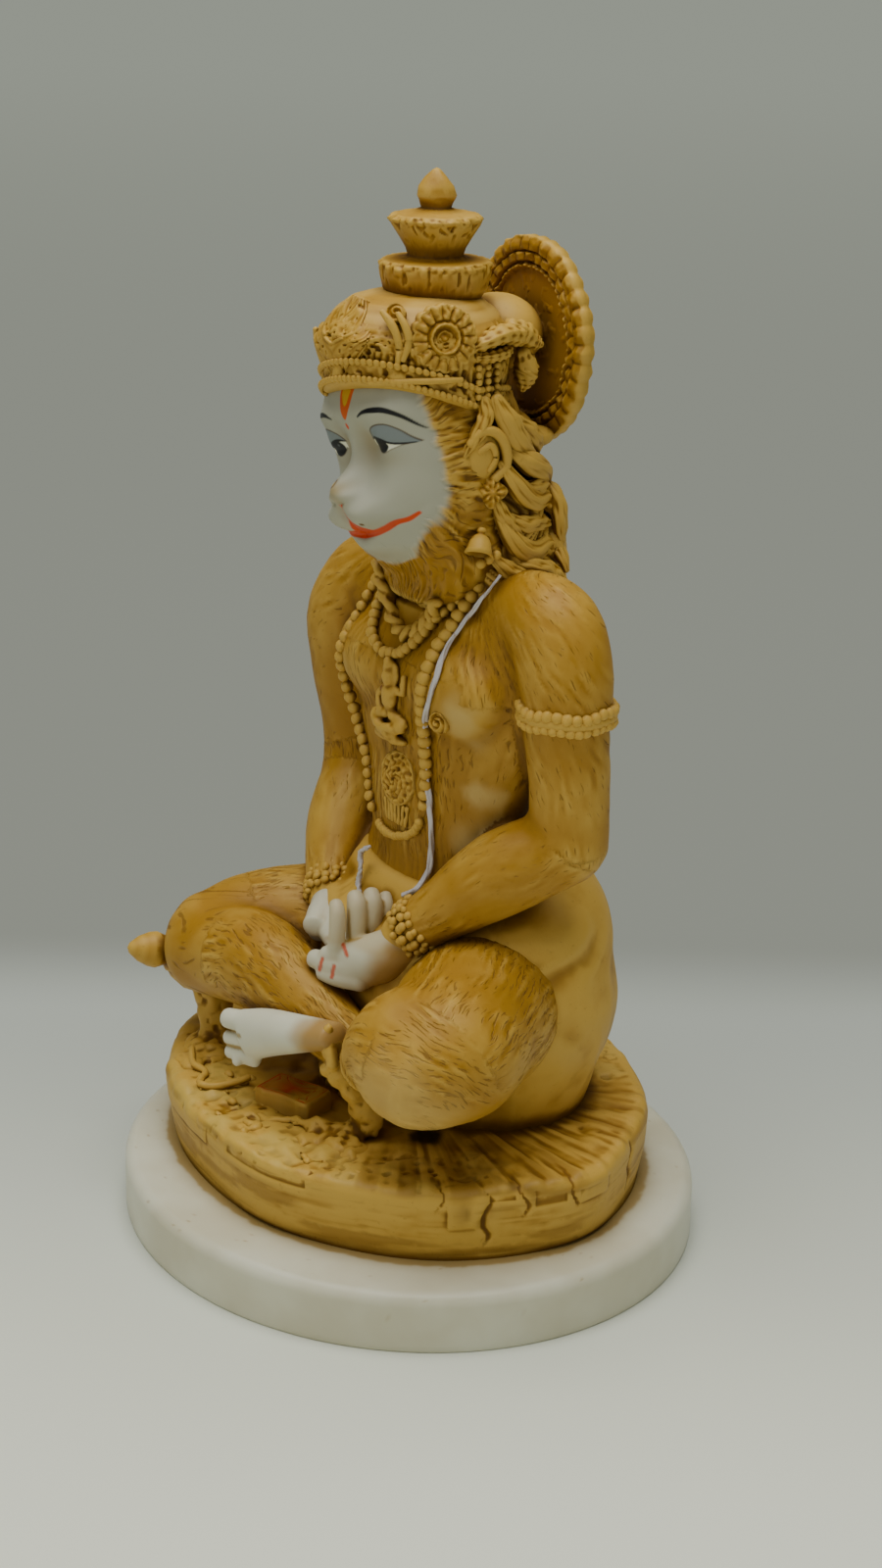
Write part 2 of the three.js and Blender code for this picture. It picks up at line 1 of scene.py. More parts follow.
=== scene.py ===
"""A small cast statue of a seated Hanuman on a rough rock and a smooth oval plinth.

Shapes are worked out in millimetres, x and y from the plinth's middle and z from the seat, which is the top
of the rock. sit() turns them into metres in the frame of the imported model.
"""

import math

import bpy
import numpy as np
import openvdb
from bpy.props import FloatProperty, FloatVectorProperty, PointerProperty
from mathutils import Matrix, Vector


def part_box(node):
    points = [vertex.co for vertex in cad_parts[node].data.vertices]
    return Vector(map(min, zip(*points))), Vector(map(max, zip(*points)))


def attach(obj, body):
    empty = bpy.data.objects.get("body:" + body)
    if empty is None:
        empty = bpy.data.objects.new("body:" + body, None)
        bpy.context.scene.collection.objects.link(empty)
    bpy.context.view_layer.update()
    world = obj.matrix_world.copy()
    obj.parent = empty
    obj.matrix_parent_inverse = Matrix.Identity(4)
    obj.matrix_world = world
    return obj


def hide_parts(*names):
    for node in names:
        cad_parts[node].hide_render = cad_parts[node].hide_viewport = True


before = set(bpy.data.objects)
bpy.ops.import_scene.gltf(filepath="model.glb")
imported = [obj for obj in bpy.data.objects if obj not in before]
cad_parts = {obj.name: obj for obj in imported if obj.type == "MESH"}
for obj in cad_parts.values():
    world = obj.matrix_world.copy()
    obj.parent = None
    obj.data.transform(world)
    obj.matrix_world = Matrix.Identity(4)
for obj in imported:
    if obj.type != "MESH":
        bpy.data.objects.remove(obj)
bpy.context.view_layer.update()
PLINTH_LOW, PLINTH_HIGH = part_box("oval_plinth")
FIGURE_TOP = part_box("hanuman_figure")[1][2]

bl_info = {
    "name": "Seated Hanuman statue",
    "version": (1, 0, 0),
    "blender": (4, 5, 0),
    "location": "View3D > Sidebar > Statue",
    "description": "Builds a cast marble-dust statue with its ochre wash and painted face",
    "category": "Add Mesh",
}

MM = 0.001
SEATED_HEIGHT = 177
ROCK_MIDDLE = np.array([-4, 2])
ROCK_HALF = np.array([54, 45])
FORMS = {}


# Sizes and colours

def colour(name, description, default):
    """A colour that a user can change."""
    return FloatVectorProperty(
        name=name, description=description, subtype="COLOR", size=3, min=0, max=1, default=default
    )


def length(name, description, default, low):
    """A length that a user can change."""
    return FloatProperty(name=name, description=description, unit="LENGTH", min=low, default=default)


class StatueSizes(bpy.types.PropertyGroup):
    """Sizes of the whole statue"""

    rock_height: length("Rock height", "From the plinth's top to the seat", 0.0145, 0.005)
    fur_depth: length("Fur depth", "Depth of the carved fur strokes", 0.00012, 0)
    voxel: length("Carving step", "Distance between the points of the melted skins", 0.00055, 0.0004)


class StatueColours(bpy.types.PropertyGroup):
    """Base colours of the finishes"""

    ochre: colour("Ochre wash", "Worn wash over the casting", (0.38, 0.185, 0.006))
    cream: colour("Cream", "Raised parts of the casting where the wash is thin", (0.6, 0.365, 0.06))
    umber: colour("Umber", "Dark wash gathered in hollows and strokes", (0.13, 0.055, 0.003))
    marble: colour("Bare marble", "Smooth face, hands, foot and plinth", (0.7, 0.69, 0.54))
    vermilion: colour("Vermilion", "Painted mouth and brow mark", (0.62, 0.06, 0.006))
    yellow: colour("Yellow", "Painted middle of the brow mark", (0.62, 0.38, 0.012))
    lid: colour("Lid grey", "Painted eyelids", (0.2, 0.235, 0.24))
    cloud: colour("Cloud", "Faint warm clouds in the bare marble", (0.54, 0.49, 0.33))
    stain: colour("Stain", "Where the wash ran on to the bare marble", (0.34, 0.2, 0.018))
    silver: colour("Silver white", "Painted cord", (0.62, 0.59, 0.6))
    black: colour("Black", "Painted brows, lashes and pupils", (0.006, 0.006, 0.007))


def sizes():
    """The sizes that the scene holds."""
    return bpy.context.scene.statue_sizes


def colours():
    """The colours that the scene holds."""
    return bpy.context.scene.statue_colours


# Arrays of points

def unit(vectors):
    """The same directions with length one."""
    return vectors / np.maximum(np.linalg.norm(vectors, axis=-1, keepdims=True), 1e-9)


def lengths(vectors):
    """The lengths of vectors."""
    return np.linalg.norm(vectors, axis=-1)


def square_to(way):
    """A direction with length one, with a level one and an upright one square to it."""
    way = unit(np.asarray(way, float))
    aside = unit(np.cross((0, 0, 1), way))
    return way, aside, np.cross(way, aside)


def xyz(x, y, z):
    """Points from three arrays, each spread to the same shape."""
    return np.stack(np.broadcast_arrays(x, y, z), -1)


def circle(count):
    """Angles spaced evenly round a full turn."""
    return 2 * np.pi * np.arange(count) / count


def run_along(path):
    """How far along a path each of its points lies."""
    return np.concatenate([[0], np.cumsum(lengths(np.diff(path, axis=0)))])


def through(points, share):
    """Points on the smooth curve through the given ones: a Catmull-Rom curve whose knots are spaced by the
    square root of the distances. share runs from 0 to 1; columns after the third, such as radii, go along.
    """
    p = np.asarray(points, float)
    p = np.vstack([2 * p[0] - p[1], p, 2 * p[-1] - p[-2]])
    spans = len(p) - 3
    s = np.clip(np.asarray(share, float) * spans, 0, spans - 1e-9)
    i = s.astype(int)
    w = (s - i)[:, None]
    knots = np.maximum(np.linalg.norm(np.diff(p[:, :3], axis=0), axis=1), 1e-6) ** 0.5
    d0, d1, d2 = (knots[i + k][:, None] for k in range(3))
    a, b, c, e = (p[i + k] for k in range(4))
    t1 = ((b - a) / d0 - (c - a) / (d0 + d1) + (c - b) / d1) * d1
    t2 = ((c - b) / d1 - (e - b) / (d1 + d2) + (e - c) / d2) * d1
    return b + t1 * w + (3 * (c - b) - 2 * t1 - t2) * w**2 + (2 * (b - c) + t1 + t2) * w**3


def noise(points, seed=0):
    """Smooth random heights from -1 to 1 over space: a random number at each whole-number corner, blended
    by the fifth-power smooth step between the eight corners round a point.
    """
    p = np.asarray(points, float)
    cell = np.floor(p).astype(np.int64)
    f = p - cell
    f = f * f * f * (f * (6 * f - 15) + 10)
    total = np.zeros(p.shape[:-1])
    for corner in range(8):
        step = np.array([corner & 1, corner >> 1 & 1, corner >> 2 & 1])
        h = (cell + step) @ np.array([374761393, 668265263, 1274126177]) + seed * 974634777
        h = (h ^ (h >> 13)) * 1103515245
        h = (h ^ (h >> 16)) & 0xFFFF
        total += np.prod(np.where(step == 1, f, 1 - f), axis=-1) * (h / 32767.5 - 1)
    return total


def ramp(x, low, high):
    """0 below low, 1 above high and a smooth step between."""
    t = np.clip((x - low) / (high - low), 0, 1)
    return t * t * (3 - 2 * t)


def peak(x, middle, reach):
    """A soft peak about one value, from 0 to 1."""
    return np.exp(-(((x - middle) / reach) ** 2))


def bump(x, z, x0, z0, reach_x, reach_z):
    """A soft bump about (x0, z0), from 0 to 1."""
    return np.exp(-(((x - x0) / reach_x) ** 2) - ((z - z0) / reach_z) ** 2)


class Form:
    """A closed surface in the making: points in millimetres about the seat, faces of four and of three
    corners, and values that the points carry.
    """

    def __init__(self, points, quads, tris=(), **values):
        self.points = np.asarray(points, float).reshape(-1, 3)
        self.quads = np.asarray(quads, np.int64).reshape(-1, 4)
        self.tris = np.asarray(tris, np.int64).reshape(-1, 3)
        self.values = values

    def triangles(self):
        """All faces as triangles."""
        q = self.quads
        return np.vstack([q[:, [0, 1, 2]], q[:, [0, 2, 3]], self.tris])

    def outward(self):
        """The same form, turned inside out if its faces point inwards."""
        a, b, c = (self.points[self.triangles()[:, k]] for k in range(3))
        if np.einsum("ij,ij->i", a, np.cross(b, c)).sum() < 0:
            self.quads = self.quads[:, ::-1]
            self.tris = self.tris[:, ::-1]
        return self

    def normals(self):
        """Outward directions at the points: the sum of the faces' area vectors round each."""
        t = self.triangles()
        a, b, c = (self.points[t[:, k]] for k in range(3))
        area = np.cross(b - a, c - a)
        count = len(self.points)
        total = [sum(np.bincount(t[:, k], area[:, axis], count) for k in range(3)) for axis in range(3)]
        return unit(np.stack(total, -1))

    def neighbours(self):
        """Pairs of points that share an edge, both ways."""
        q, t = self.quads, self.tris
        pairs = [q[:, [k, (k + 1) % 4]] for k in range(4)] + [t[:, [k, (k + 1) % 3]] for k in range(3)]
        one_way = np.vstack(pairs)
        return np.vstack([one_way, one_way[:, ::-1]])

    def relaxed(self, times, share=0.6):
        """Points moved towards the middle of their neighbours, again and again."""
        pairs = self.neighbours()
        count = len(self.points)
        near = np.maximum(np.bincount(pairs[:, 0], minlength=count), 1)[:, None]
        points = self.points.copy()
        for _ in range(times):
            columns = [np.bincount(pairs[:, 0], points[pairs[:, 1], axis], count) for axis in range(3)]
            points += share * (np.stack(columns, -1) / near - points)
        return points

    def raised(self, height):
        """The form with each point moved out along its normal."""
        self.points = self.points + self.normals() * np.asarray(height)[:, None]
        return self

    def paint(self, tone, share):
        """Lays one more colour over the points; the paint's fourth column is how far it covers."""
        under = self.values.get("paint", np.zeros((len(self.points), 4)))
        share = np.clip(share, 0, 1)
        kept = under[:, 3] * (1 - share)
        cover = share + kept
        mix = np.outer(share, tone) + under[:, :3] * kept[:, None]
        self.values["paint"] = np.column_stack([mix / np.maximum(cover, 1e-6)[:, None], cover])

    def mirrored(self):
        """The form's other-hand copy across x = 0."""
        values = {key: value.copy() for key, value in self.values.items()}
        points = self.points * np.array([-1, 1, 1])
        return Form(points, self.quads[:, ::-1], self.tris[:, ::-1], **values)


def joined(forms):
    """One form from several, each turned outwards first."""
    forms = [form.outward() for form in forms]
    starts = np.cumsum([0] + [len(form.points) for form in forms[:-1]])
    keys = {key: value.shape[1:] for form in forms for key, value in form.values.items()}
    values = {}
    for key, shape in keys.items():
        parts = [form.values.get(key, np.zeros((len(form.points), *shape))) for form in forms]
        values[key] = np.concatenate(parts)
    quads = np.vstack([form.quads + start for form, start in zip(forms, starts)])
    tris = np.vstack([form.tris + start for form, start in zip(forms, starts)])
    return Form(np.vstack([form.points for form in forms]), quads, tris, **values)


def wrapped(rings, first=None, last=None, **values):
    """A form over rings of points: each ring joins the next, and each end closes on a pole, which is the
    ring's middle unless it is given. values have one entry for each ring point.
    """
    rows, sides = rings.shape[:2]
    first = rings[0].mean(axis=0) if first is None else first
    last = rings[-1].mean(axis=0) if last is None else last
    row = np.arange(rows - 1)[:, None] * sides
    side = np.arange(sides)[None]
    after = (side + 1) % sides
    quads = np.stack([row + side, row + after, row + sides + after, row + sides + side], -1).reshape(-1, 4)
    pole = rows * sides
    end = (rows - 1) * sides
    tris = [
        xyz(np.full(sides, pole), after[0], side[0]),
        xyz(np.full(sides, pole + 1), end + side[0], end + after[0]),
    ]
    flat = {}
    for key, value in values.items():
        tail = value.shape[2:]
        poles = [value[0].mean(axis=0).reshape(1, *tail), value[-1].mean(axis=0).reshape(1, *tail)]
        flat[key] = np.concatenate([value.reshape(-1, *tail), *poles])
    return Form(np.vstack([rings.reshape(-1, 3), [first, last]]), quads, np.vstack(tris), **flat).outward()


def ringed(rings):
    """A form over rings that close on themselves both ways, like a torus."""
    rows, sides = rings.shape[:2]
    row = np.arange(rows)[:, None] * sides
    below = (np.arange(rows)[:, None] + 1) % rows * sides
    side = np.arange(sides)[None]
    after = (side + 1) % sides
    quads = np.stack([row + side, row + after, below + after, below + side], -1).reshape(-1, 4)
    return Form(rings.reshape(-1, 3), quads).outward()


def stations(rows):
    """Path stations as an array of x, y, z, half width and half height; a lone radius counts for both."""
    return np.array([list(row) + ([row[3]] if len(row) == 4 else []) for row in rows], float)


def limb(rows, around=40, step=1.0, up=(0, 0, 1), cap=0.8, swell=None):
    """A rounded limb: an oval carried along the smooth path through its stations, with domed ends that reach
    out by cap radii. swell(share, angle) is added to the oval's radii.
    """
    table = stations(rows)
    reach = lengths(np.diff(table[:, :3], axis=0)).sum()
    share = np.linspace(0, 1, max(6, int(reach / step) + 1))
    path = through(table, share)
    ahead = unit(through(table[:, :3], share + 1e-3) - through(table[:, :3], share - 1e-3))
    across = unit(np.cross(np.asarray(up, float), ahead))
    along = np.cross(ahead, across)
    dome = np.linspace(0, math.pi / 2, max(4, int(table[:, 3].min() / step) + 3))[1:-1]
    pick = np.concatenate(
        [np.zeros(len(dome), int), np.arange(len(path)), np.full(len(dome), len(path) - 1)]
    )
    round_off = np.concatenate([dome[::-1], np.zeros(len(path)), dome])
    way = np.concatenate([-np.ones(len(dome)), np.zeros(len(path)), np.ones(len(dome))])
    domed = way * cap * np.minimum(path[pick, 3], path[pick, 4])
    centre = path[pick, :3] + ahead[pick] * (domed * np.sin(round_off))[:, None]
    angle = circle(around)
    grown = 0 if swell is None else swell(share[pick][:, None], angle[None])
    narrow = np.cos(round_off)[:, None]
    wide = (path[pick, 3:4] + grown) * narrow * np.cos(angle)
    high = (path[pick, 4:5] + grown) * narrow * np.sin(angle)
    rings = (
        centre[:, None] + wide[..., None] * across[pick][:, None] + high[..., None] * along[pick][:, None]
    )
    arc = run_along(path[:, :3])
    run = arc[pick] + domed * np.sin(round_off)
    turn = (angle - np.pi) * path[:, 3:5].mean()
    fur = xyz(run[:, None], turn[None], np.float64(table[0, 0]))
    ends = [
        path[0, :3] - ahead[0] * cap * path[0, 3:5].min(),
        path[-1, :3] + ahead[-1] * cap * path[-1, 3:5].min(),
    ]
    return wrapped(rings, *ends, fur=fur)


def egg(centre, radii, step=1.2):
    """An egg-shaped mass: a sphere's rings, stretched."""
    radii = np.asarray(radii, float)
    rows = max(8, int(math.pi * radii.max() / step))
    tilt = np.linspace(0, np.pi, rows + 1)[1:-1, None]
    turn = np.linspace(0, 2 * np.pi, 2 * rows, endpoint=False)[None]
    ball = xyz(np.sin(tilt) * np.cos(turn), np.sin(tilt) * np.sin(turn), np.cos(tilt))
    rings = np.asarray(centre) + ball * radii
    ends = [np.asarray(centre) + radii * (0, 0, 1), np.asarray(centre) - radii * (0, 0, 1)]
    return wrapped(rings, *ends)


def turned(profile, around, centre=(0, 0, 0), axis=(0, 0, 1), count=60, rim=None, flatten=(1, 1)):
    """A turned form: a profile of (radius, height) pairs, with points spaced evenly along it and its corners
    kept, carried round an axis. rim(angle, radius, height) is added to the radius, for flutes and petals.
    """
    p = np.asarray(profile, float)
    arc = run_along(p)
    spots = np.union1d(np.linspace(0, arc[-1], count), arc)
    curve = np.stack([np.interp(spots, arc, p[:, 0]), np.interp(spots, arc, p[:, 1])], -1)
    radius, height = curve[1:-1, 0:1], curve[1:-1, 1:2]
    angle = circle(around)[None]
    grown = radius + (0 if rim is None else rim(angle, radius, height))
    local = xyz(grown * np.cos(angle) * flatten[0], grown * np.sin(angle) * flatten[1], height)
    way = unit(np.asarray(axis, float))
    aside = unit(np.cross((0, 1, 0) if abs(way[2]) > 0.9 else (0, 0, 1), way))
    turn = np.stack([aside, np.cross(way, aside), way])
    poles = [np.asarray(centre) + way * curve[0, 1], np.asarray(centre) + way * curve[-1, 1]]
    return wrapped(local @ turn + np.asarray(centre), *poles)


def bead_string(path, radius, count, around=12, closed=False):
    """Round beads spaced evenly along a path, which may close on itself. radius may be a list that runs
    from the path's start to its end.
    """
    points = np.asarray(path, float)
    points = np.vstack([points, points[:1]]) if closed else points
    fine = through(points, np.linspace(0, 1, 400))
    arc = run_along(fine)
    middle = (np.arange(count) + (0 if closed else 0.5)) / count * arc[-1]
    place = np.stack([np.interp(middle, arc, fine[:, axis]) for axis in range(3)], -1)
    radii = np.atleast_1d(radius)
    size = np.interp(middle / arc[-1], np.linspace(0, 1, len(radii)), radii)
    return [egg(c, (r, r, r), step=r * 2 * math.pi / around) for c, r in zip(place, size)]


def melted(forms, rounds, voxel, cuts=(), cut_round=0.6):
    """One skin over several closed forms. At each voxel the distances to the forms are folded together by
    a smooth minimum, which fills the crease between them with a round; cuts are taken away by the smooth
    maximum with the opposite distance. The skin is where the result is nought.
    """
    low = np.min([form.points.min(axis=0) for form in forms], axis=0)
    high = np.max([form.points.max(axis=0) for form in forms], axis=0)
    margin = max(rounds) / 2 + 3 * voxel
    start = np.floor((low - margin) / voxel).astype(int)
    size = np.ceil((high + margin) / voxel).astype(int) - start + 1
    band = max(max(rounds), cut_round) / voxel + 3
    far = band * voxel
    spacing = openvdb.createLinearTransform(voxelSize=voxel)

    def distances(form):
        """The distance to one form on the box of voxels, less than nought inside it."""
        layer = np.empty(size, np.float32)
        grid = openvdb.FloatGrid.createLevelSetFromPolygons(
            form.points.astype(np.float32),
            triangles=form.triangles().astype(np.uint32),
            transform=spacing,
            halfWidth=band,
        )
        grid.copyToArray(layer, ijk=tuple(int(v) for v in start))
        return layer

    total = distances(forms[0])
    for form, reach in zip(forms[1:], rounds[1:]):
        layer = distances(form)
        share = np.clip(0.5 + 0.5 * (total - layer) / reach, 0, 1)
        share[layer > 0.999 * far] = 0
        total = total * (1 - share) + layer * share - reach * share * (1 - share)
    for form in cuts:
        layer = -distances(form)
        share = np.clip(0.5 - 0.5 * (total - layer) / cut_round, 0, 1)
        share[layer < -0.999 * far] = 0
        total = total * (1 - share) + layer * share + cut_round * share * (1 - share)
    grid = openvdb.FloatGrid(float(far))
    grid.transform = spacing
    grid.copyFromArray(total.astype(np.float32), ijk=tuple(int(v) for v in start))
    points, quads = grid.convertToQuads(isovalue=0.0)
    form = Form(points, quads).outward()
    form.points = form.relaxed(2, 0.5)
    return form


def combed(form, guides):
    """Gives a form fur coordinates: each point takes the guide limb that it is deepest in, its run along
    that limb, its turn round it times the mean radius, and a number of its own. A guide is (stations,
    facing); the turn's jump lies opposite facing.
    """
    best = np.full(len(form.points), np.inf)
    fur = np.zeros((len(form.points), 3))
    for number, (rows, facing) in enumerate(guides):
        table = stations(rows)
        share = np.linspace(0, 1, 48)
        path = through(table, share)
        ahead = unit(through(table[:, :3], share + 1e-3) - through(table[:, :3], share - 1e-3))
        arc = run_along(path[:, :3])
        gap = form.points[:, None] - path[None, :, :3]
        ratio = lengths(gap) / path[None, :, 3:5].mean(axis=2)
        nearest = ratio.argmin(axis=1)
        ratio = ratio[np.arange(len(ratio)), nearest]
        way = ahead[nearest]
        offset = gap[np.arange(len(gap)), nearest]
        front = unit(np.asarray(facing, float) - way * (way @ np.asarray(facing, float))[:, None])
        side = np.cross(way, front)
        run = arc[nearest] + np.einsum("ij,ij->i", offset, way)
        turn = np.arctan2(np.einsum("ij,ij->i", offset, side), np.einsum("ij,ij->i", offset, front))
        closer = ratio < best
        best[closer] = ratio[closer]
        mean = path[:, 3:5].mean()
        fur[closer] = xyz(run, turn * mean, np.full(len(run), 7.0 * number))[closer]
    form.values["fur"] = fur
    return form


def stroke_height(fur, length=3.4, width=0.95, seed=3):
    """Heights of fur strokes, from -1 in a groove to 1: noise that is long along the fur and narrow across
    it, with the across direction bent a little by slow waves.
    """
    slow = fur / np.array([9.0, 9.0, 1.0])
    across = fur[:, 1] + 1.1 * noise(slow, seed) + 0.5 * noise(slow * (2.1, 2.1, 1), seed + 1)
    return noise(xyz(fur[:, 0] / length, across / width, fur[:, 2]), seed + 2)


def sit(points):
    """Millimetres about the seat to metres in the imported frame."""
    seat = PLINTH_HIGH[2] + sizes().rock_height
    scale = (FIGURE_TOP - seat) / SEATED_HEIGHT
    return np.asarray(points) * scale + np.array([0, 0, seat])


def hollowness(form):
    """How far each point lies below (above 0) or proud of (below 0) its smoothed surroundings, at a fine and
    a broad scale, each divided by its reach.
    """
    scales = [(4, 0.10), (30, 0.55)]
    normal = form.normals()
    drops = []
    for times, reach in scales:
        moved = form.relaxed(times) - form.points
        drops.append(np.clip(np.einsum("ij,ij->i", moved, normal) / reach, -1, 1))
    return drops


def publish(name, form, finish, node="hanuman_figure", share=1.0):
    """Puts a form into a mesh object at the origin, with its values as attributes, riding on the root body
    and standing for its CAD node. A piece that is finer than it needs keeps only a share of its triangles.
    """
    mesh = bpy.data.meshes.new(name)
    corners = np.concatenate([form.quads.ravel(), form.tris.ravel()]).astype(np.int32)
    count = np.concatenate([np.full(len(form.quads), 4), np.full(len(form.tris), 3)])
    start = np.concatenate([[0], np.cumsum(count)[:-1]]).astype(np.int32)
    mesh.vertices.add(len(form.points))
    mesh.vertices.foreach_set("co", sit(form.points).astype(np.float32).ravel())
    mesh.loops.add(len(corners))
    mesh.loops.foreach_set("vertex_index", corners)
    mesh.polygons.add(len(count))
    mesh.polygons.foreach_set("loop_start", start)
    mesh.update(calc_edges=True)
    mesh.validate()
    mesh.polygons.foreach_set("use_smooth", np.ones(len(mesh.polygons), bool))
    fine, broad = hollowness(form)
    form.values.update(fine=fine, broad=broad)
    form.values.setdefault("paint", np.zeros((len(form.points), 4)))
    kinds = {1: ("FLOAT", "value"), 3: ("FLOAT_VECTOR", "vector"), 4: ("FLOAT_COLOR", "color")}
    for key, value in form.values.items():
        kind, field = kinds[1 if value.ndim == 1 else value.shape[1]]
        layer = mesh.attributes.new(key, kind, "POINT")
        layer.data.foreach_set(field, np.ascontiguousarray(value, np.float32).ravel())
    mesh.materials.append(bpy.data.materials[finish])
    piece = bpy.data.objects.new(name, mesh)
    bpy.context.scene.collection.objects.link(piece)
    if share < 1:
        thinning = piece.modifiers.new("Fewer triangles", "DECIMATE")
        thinning.ratio = share
    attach(piece, "root")
    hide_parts(node)
    FORMS[name] = form


TOWARDS_CAMERA = (0.78, -0.52, 0.33)

# The carving: stations are [x, y, z, half width, half height]

TORSO = [
    [0, 11, 38, 28, 19],
    [0, 10.5, 46, 23, 14.5],
    [0, 10, 53, 21.5, 12.8],
    [0, 9.5, 63, 23.5, 13],
    [0, 10, 74, 27.5, 14.2],
    [0, 10.5, 84, 30, 14.5],
    [0.5, 11, 93, 30, 13],
    [0.5, 11, 100, 22, 11.5],
    [0, 8, 106, 13, 10],
    [0, 5, 113, 12, 9],
]
LEFT_UPPER_ARM = [
    [19, 10.5, 99.5, 8, 7.4],
    [28.6, 11, 98.4, 9, 8.6],
    [32.8, 11, 91.5, 8.6],
    [33.5, 11.2, 81, 7.8],
    [33.9, 12, 70, 7.4],
    [33.6, 12.4, 59, 7.4],
]
LEFT_FOREARM = [
    [33.6, 12.2, 58.5, 7.1, 7.3],
    [26.5, 3, 52.5, 7.6, 8],
    [18.5, -5.2, 43.5, 5.6, 5.9],
    [12.5, -9.6, 37, 4.6, 4.9],
]
RIGHT_UPPER_ARM = [
    [-19, 10, 97, 8, 7],
    [-28, 9, 95, 9.5, 8.6],
    [-33.4, 7.8, 87, 9.6],
    [-34.8, 8.6, 77, 8.9],
    [-35.2, 10.4, 64, 8],
    [-34.6, 10.6, 55, 7.8],
]
RIGHT_FOREARM = [
    [-34.4, 10.5, 54.5, 7.4, 7.6],
    [-28.5, 2.5, 45, 7.6],
    [-21.5, -3.9, 37.6, 6, 5.8],
    [-17, -7, 33.8, 5],
]
LEFT_THIGH = [
    [17, 8, 24, 14.5, 15], [27, -3, 25, 15], [34, -15, 23.8, 13.2, 12.9], [36, -21, 22.2, 11.5, 10.8],
]
LEFT_SHIN = [
    [36, -20, 21.4, 11.2, 10],
    [30.6, -22.6, 22.6, 10, 9.8],
    [26.8, -23.6, 21.8, 7.8, 8.2],
    [24, -24, 19.6, 5.8, 6],
]
RIGHT_THIGH = [
    [-17, 8, 24, 13.5, 14],
    [-27, -4, 24.4, 13, 12.6],
    [-34.6, -15, 23.2, 11.6],
    [-38, -23, 21.6, 9.6, 9.8],
]
RIGHT_SHIN = [
    [-37.6, -24.4, 20.2, 9, 9.2],
    [-18, -22.5, 23.4, 9, 9.6],
    [-2, -21.5, 20.5, 7, 7.6],
    [12, -19, 15.5, 5, 5.4],
]
RIGHT_FOOT = [[12, -19, 14.5, 4.6, 5], [20, -14, 12.5, 4, 6], [28, -8, 11, 3, 5.5]]
LONG_MALA = [
    [-14.5, 3, 104],
    [-16, -1, 97],
    [-17.4, -3.9, 89.5],
    [-19, -4.2, 84.4],
    [-19.8, -4, 79],
    [-19.2, -3.6, 74],
    [-17.2, -3.2, 70],
    [-14, -4, 66.5],
    [-11.6, -4, 63],
    [-10.2, -4.4, 59.4],
    [-7.6, -4.6, 55.2],
    [-2.6, -5, 52.6],
    [3.4, -5.2, 53.6],
    [7.8, -3.3, 56.4],
    [9.6, -3.5, 61.7],
    [10.2, -4.5, 71.9],
    [10.4, -5.6, 78],
    [11.2, -5.9, 83.7],
    [12, -4.6, 88],
    [12.2, -2.6, 91.8],
    [12.8, -0.3, 95.8],
    [14.2, 1.6, 101.5],
    [15.4, 3, 105],
]
SHORT_STRING = [
    [-12, 1.5, 104],
    [-10.6, -2, 97],
    [-8.4, -3.5, 91.5],
    [-4.4, -3.9, 88.6],
    [-0.4, -3.9, 88.6],
    [3.5, -3.2, 90.6],
    [6.3, -2.2, 93.5],
    [9.6, -1, 98],
    [12.8, 0, 101.8],
]
CORD = [
    [20, 5.9, 107.1],
    [19.7, 3.2, 104.1],
    [16.4, 1.8, 99.3],
    [14.5, -0.3, 94.7],
    [15.3, -3.7, 90.2],
    [14.3, -5.2, 84.5],
    [11.1, -4.5, 77.9],
    [10.3, -3.5, 71.8],
    [10.4, -2.5, 65.9],
    [11.3, -3.5, 60.5],
    [11.2, -3.5, 54.6],
    [10.6, -4.5, 48.7],
    [9.6, -7.1, 44.9],
    [6.3, -8.4, 42.6],
]
NECK_ROPE = [
    [-10, 1, 103.5], [-7.6, -3, 98.6], [-3.4, -4.4, 94.2], [1, -4.8, 92.6], [4.9, -4.3, 94.2],
    [7.6, -3, 97], [10.4, 0, 101],
]


